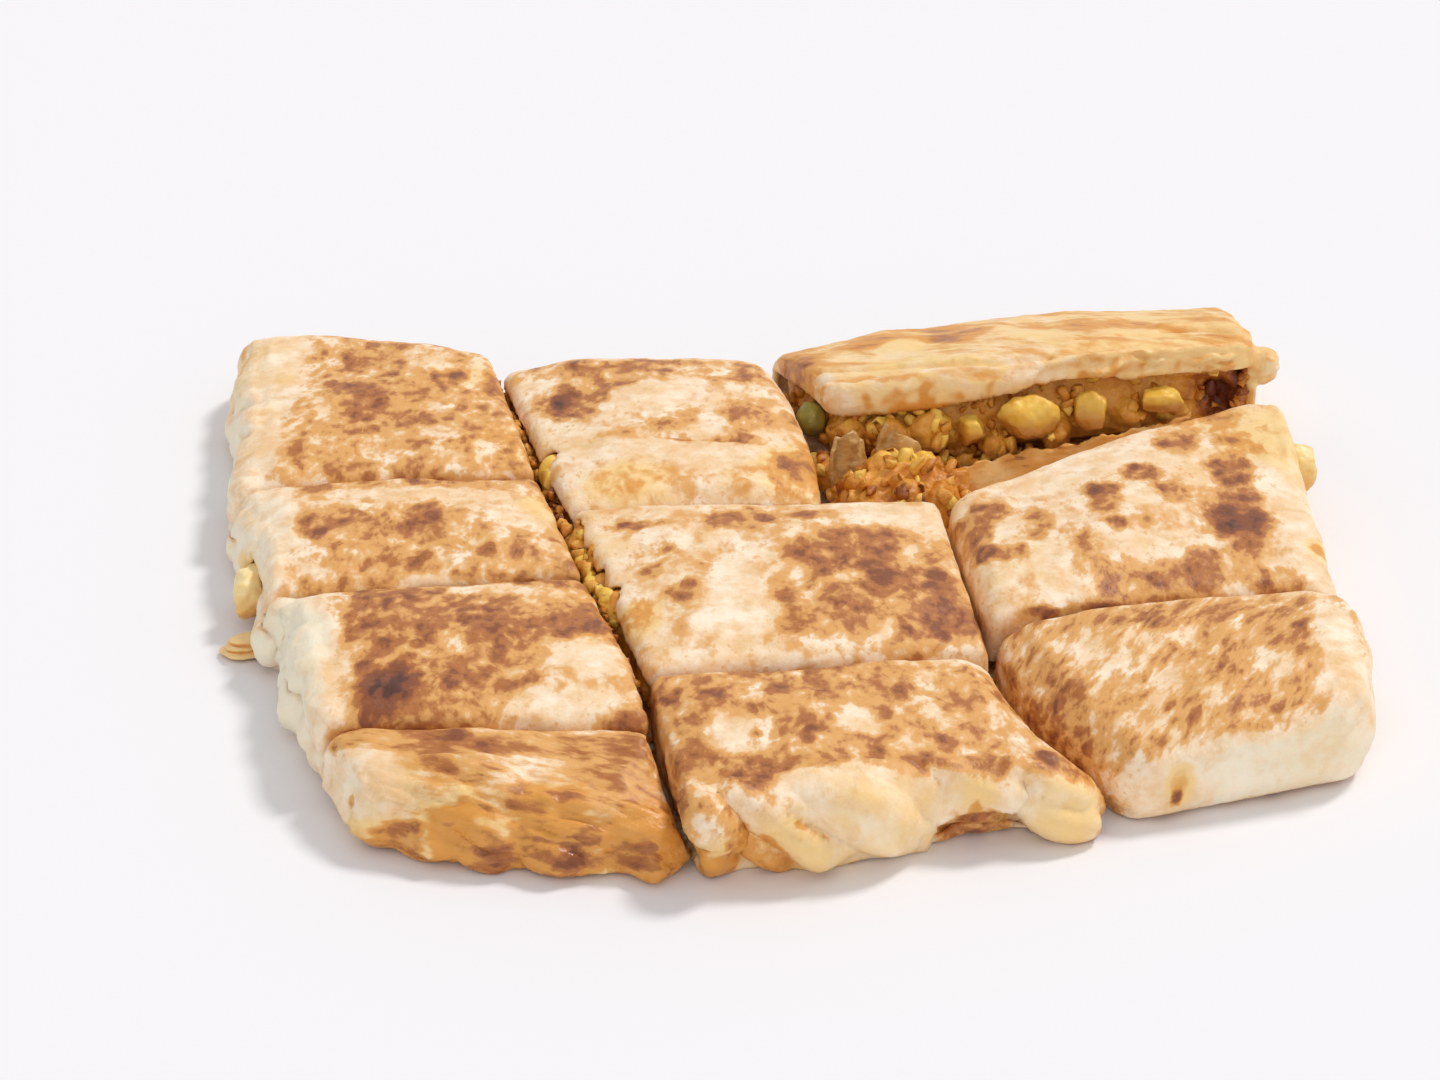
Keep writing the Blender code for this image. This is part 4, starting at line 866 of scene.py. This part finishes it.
def sprinkle(core, kinds, plan, hues):
    # crumbs half sunk into the parts of the core that show
    points = places(core) / mm
    facing = directions(core)
    low, high = plan["within"]
    inside = np.all((points > low) & (points < high), axis=1) & (facing[:, 2] > -0.3)
    spots = np.nonzero(inside)[0].tolist()
    crumbs = []
    for _ in range(plan["crumbs"]):
        spot = chance.choice(spots)
        size = chance.uniform(*plan["crumbSize"]) / 2
        middle = points[spot] + facing[spot] * size * chance.uniform(-0.15, 0.35)
        hue = hues[spot] + chance.choice(fillingRelief["crumbHues"])
        crumbs.append(placeCrumb(chance.choice(kinds), middle, size, hue))
    for start, end, count, sizes, hue in plan.get("caught", []):
        # crumbs caught between two slices
        for number in range(count):
            size = chance.uniform(*sizes) / 2
            middle = Vector(start).lerp(Vector(end), (number + chance.random()) / count)
            middle += Vector((chance.uniform(-0.5, 0.5), 0, chance.uniform(-1.2, 0.8)))
            crumbs.append(placeCrumb(chance.choice(kinds), middle, size,
                                     hue + chance.uniform(-0.25, 0.25)))
    return crumbs


def joinAll(core, others):
    selectOnly(core)
    for other in others:
        other.select_set(True)
    bpy.ops.object.join()


def makeFilling(node, kinds):
    plan = fillings.get(node, {})
    core = copyOfNode(node, node.replace("_", "").replace("filling", "Filling"))
    grid = plan.get("grid", fillingRelief["grid"])
    applyModifier(core, "REMESH", mode="VOXEL", voxel_size=grid * mm)
    applyModifier(core, "SMOOTH", factor=0.5, iterations=fillingRelief["smoothing"])
    up = directions(core)[:, 2]
    showing = np.ones(len(up)) if "spilled" in node else smoothStep(0.2, 0.7, 1 - np.abs(up))
    groupFrom(core, "cut", showing)
    roughen(core, crumbTexture, fillingRelief["crumbs"], "cut")
    roughen(core, angularTexture, fillingRelief["angular"], "cut")
    roughen(core, gritTexture, fillingRelief["grit"], "cut")
    points = places(core) / mm
    hues = fillingRelief["hue"] + fillingRelief["hueSwing"] * noiseAt(points, (4, 4, 4), 8.0)
    for share, hue in nearSpots(points, plan.get("hues", [])):
        hues += (hue - hues) * share
    storeOn(core, "hue", hues)
    if plan:
        joinAll(core, sprinkle(core, kinds, plan, hues))
    finishPiece(core, materials["filling"], "filling", node)


crumbKinds = makeCrumbKinds()
for node in [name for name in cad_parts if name.endswith("_filling")]:
    makeFilling(node, crumbKinds)
for crumb in crumbKinds:
    bpy.data.objects.remove(crumb)
print("filling is in place")


# Large pieces that show

# Flat cuts, how close they come to the middle, and the height of the surface's lumps in millimetres
lumps = {
    "R1_potato_1": {"finish": "potato", "slot": "potato", "cuts": 9, "closeness": (0.5, 0.95),
                    "lumps": 1.3},
    "R1_potato_2": {"finish": "potato", "slot": "potato", "cuts": 9, "closeness": (0.68, 0.98),
                    "lumps": 1.4},
    "R1_potato_3": {"finish": "potato", "slot": "potato", "cuts": 10, "closeness": (0.55, 0.95),
                    "lumps": 1.4},
    "R1_potato_4": {"finish": "potato", "slot": "potato", "cuts": 9, "closeness": (0.6, 0.95),
                    "lumps": 1.4},
    "R1_chilli": {"finish": "chilli", "slot": "chilli", "cuts": 4, "closeness": (0.85, 0.97),
                  "lumps": 0.6},
    "R2_egg": {"finish": "egg", "slot": "potato", "cuts": 9, "closeness": (0.66, 0.9),
               "lumps": 1.6},
    "L2_egg": {"finish": "egg", "slot": "potato", "cuts": 6, "closeness": (0.72, 0.95),
               "lumps": 2.2},
}
lumpRelief = {"grid": 0.35, "smoothing": 6, "lumpSize": 3.2, "wrinkles": 0.3}
chunkTexture = lumpyTexture("chunks", lumpRelief["lumpSize"], 1)


def makeLump(node, plan):
    lump = copyOfNode(node, node.replace("_", ""))
    whittle(lump, plan["cuts"], plan["closeness"])
    applyModifier(lump, "REMESH", mode="VOXEL", voxel_size=lumpRelief["grid"] * mm)
    applyModifier(lump, "SMOOTH", factor=0.5, iterations=lumpRelief["smoothing"])
    roughen(lump, chunkTexture, plan["lumps"])
    roughen(lump, wrinkleTexture, lumpRelief["wrinkles"])
    # the height feeds the painted shade low on each piece
    high = places(lump)[:, 2]
    storeOn(lump, "height", (high - high.min()) / (high.max() - high.min()))
    finishPiece(lump, materials[plan["finish"]], plan["slot"], node)


# Fineness of the mesh, heights of the lumps and of the torn edge in millimetres, and for dough its
# toast, the streaks of it, and its soak
sheets = {
    "R1_onion_1": {"finish": "onion", "slot": "onion", "grid": 0.3, "lumps": 1.2, "tear": 4.0},
    "R1_onion_2": {"finish": "onion", "slot": "onion", "grid": 0.3, "lumps": 1.2, "tear": 4.0},
    "R1_base_flap": {"finish": "layered", "slot": "dough", "grid": 0.4, "lumps": 2.4, "tear": 5.0,
                     "toast": 0.2, "streaks": 0.2, "soak": 1.5},
    "L2_flap": {"finish": "layered", "slot": "dough", "grid": 0.22, "lumps": 0.8, "tear": 0.4,
                "toast": 0.1, "streaks": 0.45, "soak": 1.1},
}
# Patches change the toast by so much, at these sizes; the streaks' pace is in radians per millimetre
sheetRelief = {"smoothing": 2, "wrinkles": 0.4, "patches": 0.7, "patchSizes": (6, 6, 3),
               "streakPace": 4.2}


def makeSheet(node, plan):
    # thin pieces with an uneven, torn upper edge
    sheet = copyOfNode(node, node.replace("_", ""))
    applyModifier(sheet, "REMESH", mode="VOXEL", voxel_size=plan["grid"] * mm)
    applyModifier(sheet, "SMOOTH", factor=0.5, iterations=sheetRelief["smoothing"])
    high = places(sheet)[:, 2]
    groupFrom(sheet, "edge", smoothStep(0.35, 1.0, (high - high.min()) / (high.max() - high.min())))
    applyModifier(sheet, "DISPLACE", texture=chunkTexture, strength=plan["tear"] * mm, mid_level=0.7,
                  texture_coords="LOCAL", direction="Z", vertex_group="edge")
    roughen(sheet, pleatTexture, plan["lumps"])
    roughen(sheet, wrinkleTexture, sheetRelief["wrinkles"])
    if "toast" in plan:
        points = places(sheet) / mm
        patches = noiseAt(points, sheetRelief["patchSizes"], 9.0)
        streaks = np.sin(points[:, 2] * sheetRelief["streakPace"])
        toast = plan["toast"] + sheetRelief["patches"] * patches + plan["streaks"] * streaks
        storeOn(sheet, "toast", toast)
        storeOn(sheet, "soak", np.full(len(points), plan["soak"]))
    finishPiece(sheet, materials[plan["finish"]], plan["slot"], node)


for node, plan in lumps.items():
    makeLump(node, plan)
for node, plan in sheets.items():
    makeSheet(node, plan)
print("large pieces are in place")
